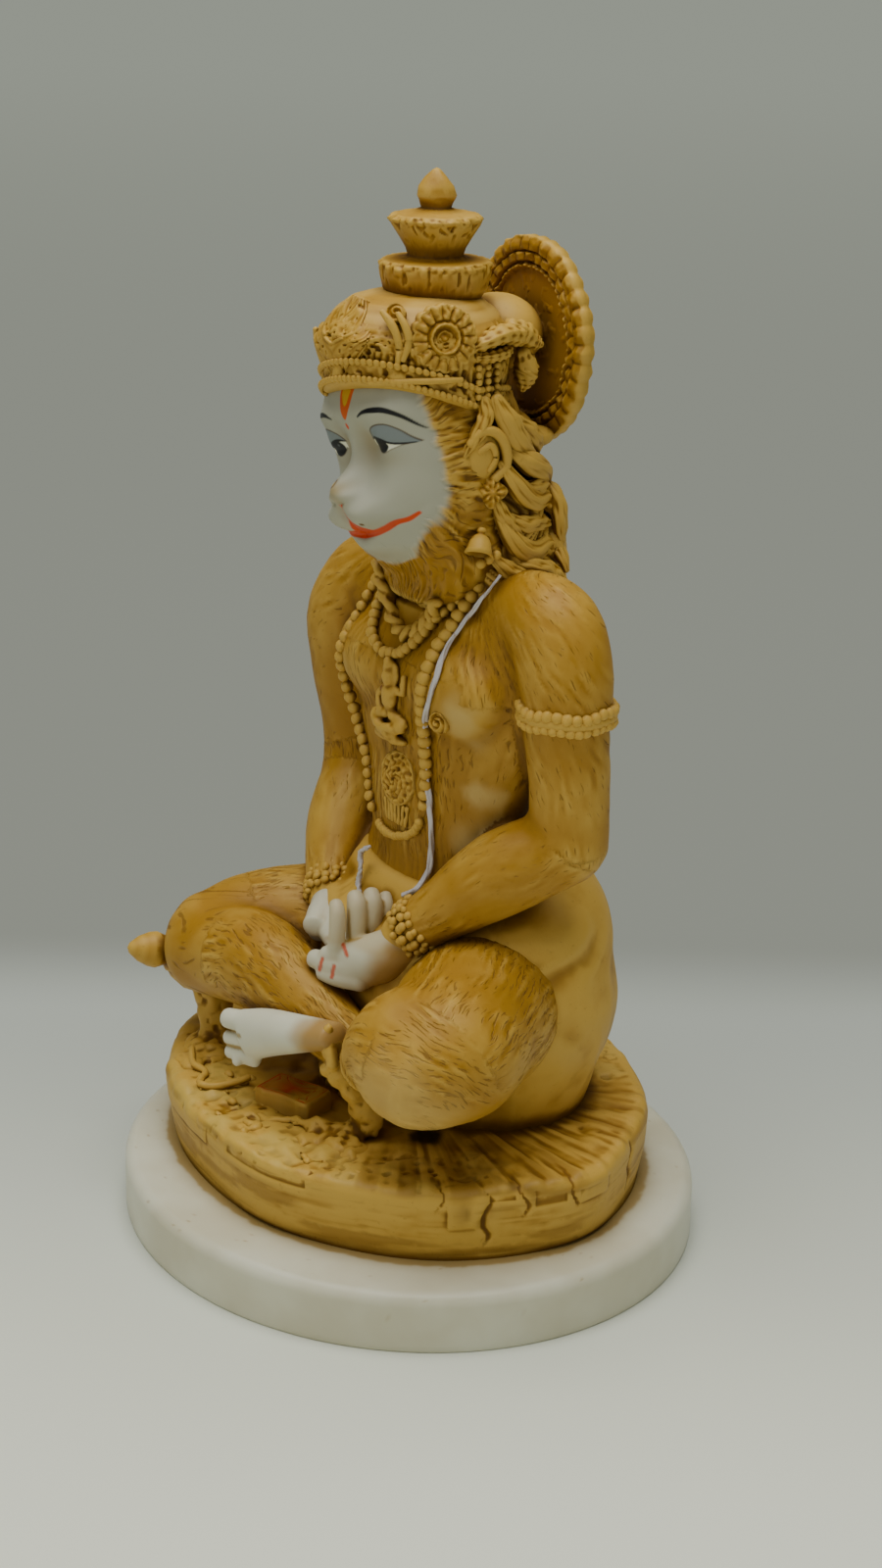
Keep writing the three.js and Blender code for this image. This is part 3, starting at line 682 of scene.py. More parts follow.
def body_form():
    """Chest, belly, shoulders and arms as one skin, with fur strokes cut into it. Over the shoulders the
    fur runs out and down from the neck; the left breast and the belly are pale and smooth but for a fringe.
    """
    voxel = sizes().voxel / MM
    forms = [
        limb(TORSO, around=80, step=2, up=(0, 1, 0), cap=0.3),
        egg((12, 1.2, 84.5), (13, 6.6, 9)),
        egg((-12, 1.2, 84.5), (13, 6.6, 9)),
        egg((0, 4, 58), (15, 7.6, 13)),
        limb(LEFT_UPPER_ARM, up=(0, 1, 0)),
        limb(RIGHT_UPPER_ARM, up=(0, 1, 0)),
        limb(LEFT_FOREARM),
        limb(RIGHT_FOREARM),
    ]
    form = melted(forms, [1, 2.2, 2.2, 4, 2.6, 2.6, 2, 2], voxel)
    forward, upward = (0, -1, 0), (0.2, -0.3, 1)
    guides = [
        (TORSO, forward),
        (LEFT_UPPER_ARM, (0.5, -1, 0.3)),
        (RIGHT_UPPER_ARM, (-0.5, -1, 0.3)),
        (LEFT_FOREARM, upward),
        (RIGHT_FOREARM, upward),
    ]
    combed(form, guides)
    x, y, z = form.points.T
    neck = np.array([14, 4, 112])
    aside = np.abs(x)
    arm = (aside > 21) | (z > 88)
    arm &= z > 62 - 0.4 * (aside - 30)
    arm &= (form.values["fur"][:, 2] < 15) & ((form.values["fur"][:, 2] > 5) | (z > 84))
    away = np.sqrt((aside - neck[0]) ** 2 + (y - neck[1]) ** 2 + (z - neck[2]) ** 2)
    bearing = np.arctan2(aside - neck[0], neck[2] - z)
    shoulder = xyz(away, bearing * 26 + 0.8 * y, np.where(x > 0, 60.0, 67.0))
    form.values["fur"][arm] = shoulder[arm]
    front = ramp(y, 9, 5)
    bare = bump(x, z, 20, 81, 4.6, 8) + bump(x, z, -20, 81, 4.6, 8)
    bare += bump(x, z, 20.5, 65.5, 4.2, 3.6) + 0.9 * bump(aside, z, 19, 55.5, 6, 6)
    forearm = form.values["fur"][:, 2] > 20
    smooth = np.clip(1.25 * bare * front * ~forearm + 0.45 * forearm, 0, 1)
    fringe = bump(aside, z - 0.14 * (aside - 18) ** 2 / 4, 18.5, 71.4, 6, 1.3)
    smooth *= 1 - fringe
    furred(form, bare=smooth)
    pale = ramp(bare * front * (1 - fringe) + 0.22 * noise(form.points / 3.0, 14), 0.35, 0.95)
    form.paint((0.62, 0.44, 0.15), 0.7 * pale * ~forearm)
    return form


def furred(form, bare=0):
    """Cuts fur strokes into a combed form, shallower on bare patches, and notes them for the wash."""
    depth = sizes().fur_depth / MM
    height = stroke_height(form.values["fur"])
    patches = ramp(noise(form.points / 8.0, 8), -0.75, 0.1)
    cover = patches * (1 - bare)
    form.values["cover"] = cover
    return form.raised(depth * height * (0.15 + 0.85 * cover))


KNEES = [
    ((37, -22, 20), (0.5, 0.75, -0.42), (39, -29.5, 19)),
    ((-37.5, -23, 21), (-0.5, 0.75, -0.3), (-39, -30, 19)),
]


def legs_form():
    """Crossed legs and the tucked right foot as one skin. Over the knees the fur lies level and slants, and
    the knees' ends are smooth.
    """
    voxel = sizes().voxel / MM
    forms = [
        limb(LEFT_THIGH, around=60, cap=0.85),
        limb(LEFT_SHIN, around=50),
        limb(RIGHT_THIGH, around=60, cap=0.85),
        limb(RIGHT_SHIN, around=50),
        limb(RIGHT_FOOT),
        egg((37, -14, 24), (12, 13, 12.2)),
        egg((30.2, -21.6, 27.4), (7.8, 7.2, 7.6)),
    ]
    form = melted(forms, [1, 1.6, 1.2, 2.4, 2, 3, 3.2], voxel)
    above = (0, -0.5, 1)
    guides = [
        (LEFT_THIGH, (0.4, -0.6, 0.7)),
        (LEFT_SHIN, above),
        (RIGHT_THIGH, above),
        (RIGHT_SHIN, above),
        (RIGHT_FOOT, above),
    ]
    combed(form, guides)
    p = form.points
    bare = np.zeros(len(p))
    for middle, way, tip in KNEES:
        close = lengths(p - middle) < 15.5
        close &= form.values["fur"][:, 2] != 7
        way = unit(np.array(way))
        rise = np.cross(way, TOWARDS_CAMERA)
        level = xyz(p @ way + 0.12 * (p @ rise) ** 2 / 6, p @ rise, 90.0)
        form.values["fur"][close] = level[close]
        gap = lengths(p - middle) + 1.2 * noise(p / 4.0, 15)
        bare = np.maximum(bare, 0.3 * peak(gap, 15.5, 1.6))
        bare = np.maximum(bare, 1 - ramp(lengths(p - tip) + 2 * noise(p / 4.0, 16), 4, 8))
    pale = ramp(lengths(p - (39, -27, 17)) + 2.5 * noise(p / 4.0, 17), 15, 6)
    form.paint((0.64, 0.44, 0.14), 0.45 * pale)
    return furred(form, bare=bare)


def cloth_form():
    """The waist cloth over the hips with its sleeve round the left thigh: a few broad soft folds fan out
    from the waist, and the hem has a double line.
    """
    voxel = sizes().voxel / MM * 1.15
    hips = limb(
        [
            [0, 12, -3, 29, 22],
            [0, 12, 7, 33, 23.6],
            [0, 12, 20, 36.3, 27.2],
            [0, 12, 31, 35, 26.2],
            [0, 11.5, 40, 32, 24],
            [0, 10.5, 46, 24.6, 16.4],
        ],
        around=120,
        step=1.5,
        up=(0, 1, 0),
        cap=0.2,
    )
    sleeve = limb(
        [[12, 14, 21, 17, 16.6], [17, 9.5, 23.5, 17, 17], [22, 4.6, 24.6, 16.4, 16.9]], around=90, cap=0.06,
    )
    right = limb(
        [[-12, 12.5, 20.6, 15.4, 14.8], [-20, 5, 23.4, 15, 14.6], [-24, 1.4, 24, 14, 13.8]], around=90,
        cap=0.06,
    )
    way = (0.7, -0.71, 0.02)
    hem = ring_tube((22.4, 4.4, 24.6), way, 16.5, 17, 0.7)
    line = ring_tube((20.4, 6.4, 24.4), way, 16.9, 17.3, 0.45)
    roll = limb(
        both_sides_rows([[22, 5, 41, 2.4, 2.4], [12, -2.2, 42.6, 2.4], [0, -4.2, 42.2, 2.6]]), around=24,
    )
    form = melted([hips, sleeve, right, hem, line, roll], [1, 4, 4, 1, 0.8, 1.5], voxel)
    p = form.points
    angle = np.arctan2(p[:, 1] - 10, p[:, 0])
    slow = noise(p / 14.0, 21)
    wave = angle * 3.4 + 0.05 * (46 - p[:, 2]) * np.sin(2.2 * angle + 0.6) + 1.8 * slow
    fold = np.cos(wave) ** 2 - 0.3 * ramp(np.cos(wave) ** 2, 0.8, 1)
    strength = ramp(p[:, 2], -4, 12) * (0.5 + 0.5 * np.cos(3 * angle)) * ramp(p[:, 2], 44, 40)
    return form.raised(0.7 * fold * strength + 0.4 * noise(p / 7.0, 5) + 0.04 * noise(p / 2.2, 6))


def both_sides_rows(half):
    """Stations from the left over the middle to the right, from their left half."""
    return [list(row) for row in half] + [[-row[0], *row[1:]] for row in half[-2::-1]]


def ring_tube(centre, way, wide, high, thick, around=90, section=12):
    """A round tube bent into an oval about an axis."""
    way, aside, upright = square_to(way)
    turn = circle(around)[:, None, None]
    roll = circle(section)[None, :, None]
    out = aside * np.cos(turn) + upright * np.sin(turn)
    spine = aside * wide * np.cos(turn) + upright * high * np.sin(turn)
    rings = np.asarray(centre) + spine + thick * (out * np.cos(roll) + way * np.sin(roll))
    return ringed(rings)


FINGERS = [
    (-18.9, 34, 43.9, 1.6), (-14.7, 34.6, 44.6, 1.9), (-11.1, 35.2, 44.4, 1.9), (-7.9, 35.6, 43.2, 1.6),
]
PALM_LINES = [
    ((6.2, -19.0, 35.5), (7.7, -19.0, 33.8)),
    ((2.9, -21.5, 32.0), (1.8, -21.5, 29.2)),
    ((5.5, -20.5, 31.2), (4.7, -20.5, 28.6)),
]


def hands_form():
    """The hands, one in the other in the lap, palms up, the upper fingers curled; short red lines cross
    the lower fingers, and the wash colours the wrists and the creases between the fingers.
    """
    voxel = 0.36
    curled = []
    tints = []
    for y, low, top, r in FINGERS:
        rows = [
            [2.2, y + 0.6, low - 2, r, 1.8], [4.2, y - 0.3, low + 1.4, r], [4.0, y, top - 3, r],
            [2.8, y + 0.4, top - 1.5, 0.85 * r],
        ]
        curled.append(limb(rows, around=20, step=0.5, up=(0, 1, 0)))
        tints.append(((5.6, y + 1.9, low - 1), (4.4, y + 1.9, top - 2.6)))
    laid = [
        limb(
            [[8, -14.2, 33.4, 2.4, 2.2], [4, -18, 33, 2.1, 1.9], [1.6, -19.9, 32.2, 1.6, 1.5]], around=24,
            step=0.5,
        ),
        limb(
            [[7.4, -15.8, 30.4, 2.6, 2.7], [3, -19, 30.4, 2.3], [-1.2, -20.8, 30.3, 1.8, 1.9]], around=24,
            step=0.5,
        ),
        limb([[8, -16, 28.4, 2.4], [4, -19, 28.3, 2.1], [1.4, -20.4, 28.4, 1.7]], around=24, step=0.5),
    ]
    palms = [
        limb(
            [[-16.5, -7.4, 33.6, 4.6, 4.2], [-8, -10.8, 32.4, 4.8, 3.8], [0, -12, 31.6, 5.6, 3]], around=40,
        ),
        limb([[14, -9.2, 36.8, 4, 4.2], [10, -13, 33, 4.4, 5], [5.4, -15.8, 30.8, 3.9, 4.8]], around=40),
        limb(
            [[-14.5, -9.5, 33.6, 3.2, 4.4], [-12.4, -12.6, 32.8, 3, 4.2], [-10.8, -14.6, 32.4, 2.4, 3.6]],
            around=30, step=0.5, cap=0.5,
        ),
        limb([[-11.6, -13.4, 33.4, 2.5], [-9.2, -16.2, 33.2, 2.3]], around=30, step=0.4, cap=0.35),
    ]
    forms = palms + curled + laid
    form = melted(forms, [1, 1, 1.4, 0.5] + [0.45] * 4 + [0.6] * 3, voxel)
    p = form.points
    upper = ramp(p[:, 2] + 0.4 * noise(p / 3.0, 96), 34.4, 36) * ramp(p[:, 0], -1.4, 0.4)
    form.paint((0.5, 0.37, 0.16), 0.5 * upper)
    for start, end in tints:
        form.paint(colours().stain, 0.7 * near_line(p, start, end, 0.32))
    form.paint(colours().stain, 0.7 * near_line(p, (2.4, -19.4, 34.8), (9.8, -14, 37), 0.3))
    form.paint(colours().stain, 0.5 * near_line(p, (-6.4, -17.8, 31.6), (-3, -17, 33.4), 0.5))
    for start, end in PALM_LINES:
        seen = near_line(p, start, end, 0.24, along=(0.785, -0.522, 0.334))
        form.paint(colours().vermilion, 0.85 * seen * ramp(lengths(p - start), 6, 5))
    wrist = ramp(p[:, 0] + 0.6 * (32 - p[:, 2]) + 0.7 * noise(p / 2.5, 97), 8.5, 13.5)
    form.paint(colours().ochre, 0.85 * wrist * ramp(p[:, 1], -18.5, -15.5))
    return form


def near_line(points, start, end, reach, along=None):
    """How near points are to a straight line in space: 1 on it, 0 beyond twice the reach. With along given,
    distances in that direction don't count.
    """
    start, end = np.asarray(start, float), np.asarray(end, float)
    if along is not None:
        flat = np.eye(3) - np.outer(along, along) / np.dot(along, along)
        points, start, end = points @ flat, start @ flat, end @ flat
    way = end - start
    share = np.clip((points - start) @ way / (way @ way), 0, 1)
    gap = lengths(points - start - share[:, None] * way)
    return 1 - ramp(gap, reach, 2 * reach)


def foot_form():
    """The left foot on its outer edge, its toes one above the other, with wash in their creases."""
    sole = [
        [15, -26.5, 22, 3.4, 2.6], [7, -28.6, 19.7, 3.8, 3.6], [-2, -30.6, 16.9, 3.8, 4.7],
        [-6.8, -32, 14.9, 2.9, 5.1],
    ]
    parts = [limb(sole, around=40, cap=0.5)]
    toes = [(17.0, 2.15, 0), (13.1, 1.65, 0.2), (10.2, 1.5, 0.5), (9.0, 1.1, 3)]
    for z, r, short in toes:
        rows = [
            [-5, -31.6, z + 0.7, r, r], [-8.8, -32.8, z + 0.2, r, r],
            [-11.4 + short, -33.9, z, r * 0.9, r * 0.95],
        ]
        parts.append(limb(rows, around=24, step=0.4))
    form = melted(parts, [1] + [0.5] * 4, 0.36)
    p = form.points
    heel = ramp(p[:, 0] + 1.2 * noise(p / 3.0, 98), 7, 13)
    form.paint(colours().ochre, 0.85 * heel)
    for level in (14.9, 11.7):
        crease = near_line(p, (-12, -35.5, level), (-5.6, -34.6, level + 0.8), 0.28, along=(0.3, -1, 0.1))
        form.paint(colours().stain, 0.8 * crease * ramp(p[:, 1], -31.5, -32.5))
    return form


KNEE_GAP = (22.3, -10.1, 0)


def about_rock(points):
    """How far out points lie from the rock's middle, 1 being its edge, and their angle round its oval."""
    x, y = ((points[:, :2] - ROCK_MIDDLE) / ROCK_HALF).T
    return np.hypot(x, y), np.arctan2(y, x)


def rock_lump(angle):
    """The share by which the rock's oval swells at each angle, from two slow waves."""
    return 0.012 * np.sin(5 * angle + 1) + 0.008 * np.sin(9 * angle + 0.4)


def rock_form():
    """The rock: an oval drum with a chipped upper edge. Its side has soft level striations, chips like
    small blocks and a few cracks at chosen angles; its top has a radial grain on the right, and pits and
    crumbs from noise along the front.
    """
    figure_foot = -sizes().rock_height / MM
    edge = 2.4
    angle = circle(560)
    lump = rock_lump(angle)
    side = [(1.6, 0, 0.3)] + [(1.6 * (1 - s) ** 2, s, 1) for s in np.linspace(0.06, 0.82, 24)]
    turn = [
        (edge * (1 - math.cos(t)), 0.82 + 0.18 * math.sin(t), 1.1)
        for t in np.linspace(0.15, math.pi / 2, 8)
    ]
    rings = []
    for inset, level, rough in side + turn:
        grown = 1 + lump * rough
        x = ROCK_MIDDLE[0] + np.cos(angle) * (ROCK_HALF[0] - inset) * grown
        y = ROCK_MIDDLE[1] + np.sin(angle) * (ROCK_HALF[1] - inset) * grown
        rings.append(xyz(x, y, figure_foot * (1 - level)))
    rim = rings[-1]
    for share in np.concatenate([np.linspace(0.99, 0.5, 66), np.linspace(0.48, 0.03, 14)]):
        rings.append(np.column_stack([ROCK_MIDDLE + (rim[:, :2] - ROCK_MIDDLE) * share, rim[:, 2]]))
    form = wrapped(np.array(rings), np.array([*ROCK_MIDDLE, figure_foot]), np.array([*ROCK_MIDDLE, 0.0]))
    p = form.points
    x, z = p[:, 0], p[:, 2]
    out, theta = about_rock(p)
    on_top = ramp(z, -1.6, -0.2)
    foot = ramp(z, figure_foot + 0.2, figure_foot + 2.0)
    streaks = noise(xyz(theta * 4, z / 1.1, out), 33) + 0.5 * noise(xyz(theta * 9, z / 0.5, out), 34)
    pits = ramp(noise(p / 1.9, 35), 0.45, 0.75)
    crumbs = 1.2 * noise(p / 4.2, 37) + 0.5 * noise(p / 1.7, 38)
    cracks = np.zeros(len(p))
    rows = [
        [-0.33, 0.014, 1.3, -6, 5],
        [-0.17, 0.009, 1.0, -2, 3.4],
        [0.05, 0.009, 1.0, -2, 3.4],
        [-0.52, 0.008, 0.7, 0, 3],
        [0.5, 0.02, 1, -5, 6],
        [1.5, 0.02, 1.1, -6, 6],
        [2.6, 0.02, 1, -7, 6],
        [-2.2, 0.016, 1, -7, 6],
    ]
    for where, wide, deep, level, tall in rows:
        bend = where + 0.014 * np.sin(z * 0.9 + where * 7) + 0.008 * noise(p / 2.0, 39)
        gap = np.angle(np.exp(1j * (theta - bend)))
        cracks += deep * np.exp(-((gap / wide) ** 2) - ((z - level) / tall) ** 4) * ramp(out, 0.86, 0.93)
    chips = np.zeros(len(p))
    blocks = [
        (-0.42, -4.6, 0.075, 3.0, 0.5),
        (-0.27, -1.2, 0.06, 1.4, -0.7),
        (-0.06, -2.2, 0.08, 2.2, -0.6),
        (0.16, -3, 0.08, 2.4, 0.4),
        (-1.25, -2, 0.2, 1.6, -0.6),
        (-1.9, -3, 0.3, 2.5, 0.5),
        (1.9, -4, 0.2, 3, -0.6),
    ]
    for where, level, wide, tall, deep in blocks:
        skew = 0.012 * noise(p / 2.5, 40)
        inside = (
            ramp(wide - np.abs(theta - where - skew), 0, 0.012) * ramp(tall - np.abs(z - level), 0, 0.5)
        )
        chips += deep * inside
    front = peak(theta, -1.75, 0.5)
    crumbly = front * ramp(z, -3.6, -1.2) + 0.6 * ramp(noise(p / 9.0, 41), 0.3, 0.6) * on_top
    crumbly = np.clip(crumbly, 0, 1) * ramp(out, 0.62, 0.8)
    grain = noise(xyz(theta * 30, out * 3, np.ones(len(p))), 43)
    radial = ramp(x, 14, 34) * ramp(out, 0.4, 0.7)
    height = (
        (1 - on_top) * foot * (0.06 * streaks + 0.6 * chips) + 0.5 * crumbs * crumbly - 0.5 * pits * crumbly
    )
    height += on_top * (0.3 * radial * grain + 0.3 * noise(p / 4.0, 42))
    height += -0.6 * foot * cracks + 0.07 * crumbs * foot
    form.points = p + form.normals() * np.clip(height, -1.8, 0.8)[:, None]
    form.points[:, 2] = np.maximum(form.points[:, 2], figure_foot)
    rock_paint(form, p, theta, out, (1 - on_top) * foot, radial, crumbly)
    return form


def rock_paint(form, p, theta, out, side, radial, crumbly):
    """Brush marks of the wash on the rock: broad level ones on its side, rays on the right of its top, a
    cream front and dark smudges at the cracks; and painted shadow, near black, in the gap under the left
    knee and in a smaller patch nearer the middle.
    """
    streak = xyz(theta * 3.2, p[:, 2] / 1.8, 0 * theta)
    fine = xyz(theta * 9, p[:, 2] / 0.7, 0 * theta + 5)
    brown = (0.25, 0.115, 0.006)
    form.paint((0.6, 0.42, 0.09), 0.7 * crumbly * ramp(noise(p / 4.0, 44), -0.5, 0.2))
    form.paint(brown, 0.55 * side * ramp(noise(streak, 45) + 0.35 * noise(fine, 46), 0.05, 0.6))
    rays = noise(xyz(theta * 24, out * 2.2, 0 * theta), 47)
    form.paint(brown, 0.5 * radial * (1 - side) * ramp(rays, 0.15, 0.6))
    smudge = bump(theta, p[:, 2], -0.38, -4, 0.07, 3) + bump(theta, p[:, 2], -0.2, -1, 0.09, 2)
    form.paint(colours().umber, 0.7 * smudge * ramp(noise(p / 2.2, 48), -0.4, 0.3))
    # Painted shadow: near-black paint where the legs hang over the rock.
    for place, reach in ((KNEE_GAP, 4.2), ((11, -16, 0), 2.6)):
        gap = lengths((p - place) * (1, 1, 0.6)) + 0.8 * noise(p / 2.0, 49)
        form.paint(np.array(colours().umber) * 0.12, 0.95 * (1 - ramp(gap, 0.5 * reach, reach)))


def plinth_form():
    """The smooth oval plinth: level ovals, the upper edge rounded over. The wash has run out of the rock
    and left a brown line round its foot, with a paler stain beyond.
    """
    thick = (PLINTH_HIGH[2] - PLINTH_LOW[2]) / MM
    half_long = (PLINTH_HIGH[0] - PLINTH_LOW[0]) / MM / 2
    half_wide = (PLINTH_HIGH[1] - PLINTH_LOW[1]) / MM / 2
    seat = sizes().rock_height / MM + thick
    radius = 2.4
    angle = circle(480)
    levels = (
        [(6, 0), (0.5, 0), (0.12, 0.12), (0, 0.5)] + [(0, z) for z in np.linspace(1.5, thick - radius, 8)]
    )
    levels += [
        (radius * (1 - math.cos(t)), thick - radius * (1 - math.sin(t)))
        for t in np.linspace(0.1, math.pi / 2, 12)
    ]
    levels += [(inset, thick) for inset in [*np.linspace(radius + 0.3, 15, 46), *np.linspace(17, 50, 12)]]
    rings = []
    for inset, z in levels:
        x = np.cos(angle) * (half_long - inset)
        y = np.sin(angle) * (half_wide - inset)
        rings.append(xyz(x, y, z - seat))
    rings = np.array(rings)
    rings[:, :, :2] *= 1 - 0.002 * (1 + np.sin(3 * angle + 1))[None, :, None]
    form = wrapped(rings, np.array([0, 0, -seat]), np.array([0, 0, thick - seat]))
    p = form.points
    out, bearing = about_rock(p)
    beyond = (out - 1 - 0.3 * rock_lump(bearing)) * 50
    beyond += 0.35 * noise(p / 3.0, 99) + 0.2 * noise(p / 1.2, 100)
    line = 0.7 * np.exp(-((np.maximum(beyond, 0) / 0.5) ** 2))
    wide = 0.34 * np.exp(-np.maximum(beyond, 0) / 2.2)
    specks = 0.5 * ramp(noise(p / 1.1, 101), 0.86, 0.95)
    form.paint(colours().stain, np.maximum(wide, specks) * ramp(p[:, 2], -seat + 2, -seat + 9))
    form.paint(np.array(colours().stain) * 0.85, line)
    return form


# The face

SKULL = np.array([
    [99, 11.5, -1.5],
    [100, 12, -2],
    [104.5, 13, -4.5],
    [107.5, 12.6, -7.6],
    [110.5, 12.6, -10.6],
    [113.2, 13.2, -11.8],
    [115.4, 13.9, -12.4],
    [118.2, 14.5, -12.6],
    [121, 14.9, -12.8],
    [125, 15.3, -13],
    [130, 15.3, -13.6],
    [134, 15.4, -15.4],
    [138, 15, -14.9],
    [142, 13, -13],
])
SKULL_BACK = 12
ROLL = 0.23
ROLL_HEIGHT = 132


def rolled(points, share=1.0):
    """Points tilted with the head by a share of the whole tilt: the left side up, the chin to the left."""
    angle = ROLL * np.asarray(share)
    x, y, z = points[..., 0], points[..., 1], points[..., 2] - ROLL_HEIGHT
    return xyz(
        x * np.cos(angle) - z * np.sin(angle), y, ROLL_HEIGHT + x * np.sin(angle) + z * np.cos(angle),
    )


def face_swell(x, z):
    """How far nose, muzzle, lips, chin, lids and cheeks stand out from the plain skull: a sum of soft
    bumps and dips placed by side distance x and height z.
    """
    aside = np.abs(x)
    smile = z - 0.027 * x**2
    nose = 5.4 * bump(x, z, 0, 121.8, 3.1, 3.4) + 0.9 * bump(x, z, 0, 128, 2.2, 5)
    wings = 1.0 * bump(aside, z, 2.6, 120.4, 1.3, 1.2) - 0.6 * bump(aside, z, 1.3, 119.2, 0.6, 0.5)
    muzzle = (
        4.6 * np.exp(-((aside / 8.4) ** 4) - ((z - 116.8) / 4.4) ** 2)
        + 1.7 * bump(aside, z, 4.8, 116.8, 3.1, 3.3)
    )
    muzzle -= 1.2 * bump(x, z, 0, 116.6, 0.9, 3)
    lips = -1.1 * bump(x, smile, 0, 113.1, 9.5, 0.8) + 2.2 * bump(x, z, 0, 110.4, 6.5, 2.4)
    cheeks = 0.8 * bump(aside, z, 9.5, 121, 3.4, 4)
    sockets = -1.3 * bump(aside, z, 4.4, 128.6, 2.4, 3.2)
    lids = 1.2 * bump(aside, z, 8.6, 130.2, 4, 2.4) - 0.25 * bump(aside, z, 8.6, 128.4, 3.6, 0.5)
    brows = 0.7 * bump(aside, z, 8.6, 134.6, 5, 1.5)
    return nose + wings + muzzle + lips + cheeks + sockets + lids + brows


def skull_point(turn, z):
    """A point on the face: a level section with a flattened front whose angle runs slower in front, so the
    points crowd there.
    """
    angle = turn - 0.5 * np.sin(turn)
    column = through(np.column_stack([np.zeros(len(SKULL)), SKULL]), np.linspace(0, 1, 400))
    width = np.interp(z, column[:, 1], column[:, 2])
    front = np.interp(z, column[:, 1], column[:, 3])
    x = width * np.sin(angle)
    middle = (front + SKULL_BACK) / 2
    flat = np.sign(np.cos(angle)) * np.abs(np.cos(angle)) ** (0.6 - 0.1 * ramp(z, 122, 128))
    y = middle + flat * (front - SKULL_BACK) / 2 - np.where(np.cos(angle) > 0, face_swell(x, z), 0)
    return xyz(x, y, z)


def drawn(x, z, rows, soft=0.09):
    """How much of a painted line covers each point. rows are [x, z, half width] along it."""
    table = np.array([[a, b, 0, w] for a, b, w in rows], float)
    low, high = table[:, :2].min(axis=0) - 1.5, table[:, :2].max(axis=0) + 1.5
    close = np.flatnonzero((x > low[0]) & (x < high[0]) & (z > low[1]) & (z < high[1]))
    fine = through(table, np.linspace(0, 1, 120))
    gap = np.hypot(x[close, None] - fine[:, 0], z[close, None] - fine[:, 1]) - fine[:, 3]
    share = np.zeros(len(x))
    share[close] = 1 - ramp(gap.min(axis=1), -soft, soft)
    return share


def between(x, z, upper, lower, soft=0.09):
    """How much each point lies between two smooth curves, each a list of (x, z) with x rising."""
    ends = [np.array([[a, b, 0] for a, b in curve], float) for curve in (upper, lower)]
    high, low = (through(curve, np.linspace(0, 1, 80)) for curve in ends)
    inside = ramp(np.interp(x, high[:, 0], high[:, 1]) - z, -soft, soft)
    inside *= ramp(z - np.interp(x, low[:, 0], low[:, 1]), -soft, soft)
    first, last = min(high[0, 0], low[0, 0]), max(high[-1, 0], low[-1, 0])
    return inside * ramp(x, first - soft, first + soft) * (1 - ramp(x, last - soft, last + soft))


LASHES = [(5.0, 129.9), (6.4, 130.1), (8.4, 129.6), (9.8, 128.9), (11.6, 128.6), (13.7, 128.6)]
LASH_WIDTHS = (0.12, 0.28, 0.3, 0.24, 0.2, 0.1)
CREASE = [
    (4.7, 129.9), (5.8, 131.3), (8.0, 132.2), (10.2, 132.2), (12.0, 131.2), (13.3, 129.7), (14.2, 128.8),
]
EYE_FOOT = [(5.4, 128.7), (6.4, 127.5), (7.6, 127.2), (9.4, 127.7), (11.9, 128.4), (12.6, 128.5)]
SMILE = [
    [-11.6, 116.2, 0.3], [-10.1, 115.3, 0.42], [-8.5, 114.9, 0.45], [-6.8, 114.0, 0.5], [-4.8, 113.4, 0.55],
    [-2.6, 113.2, 0.65],
]


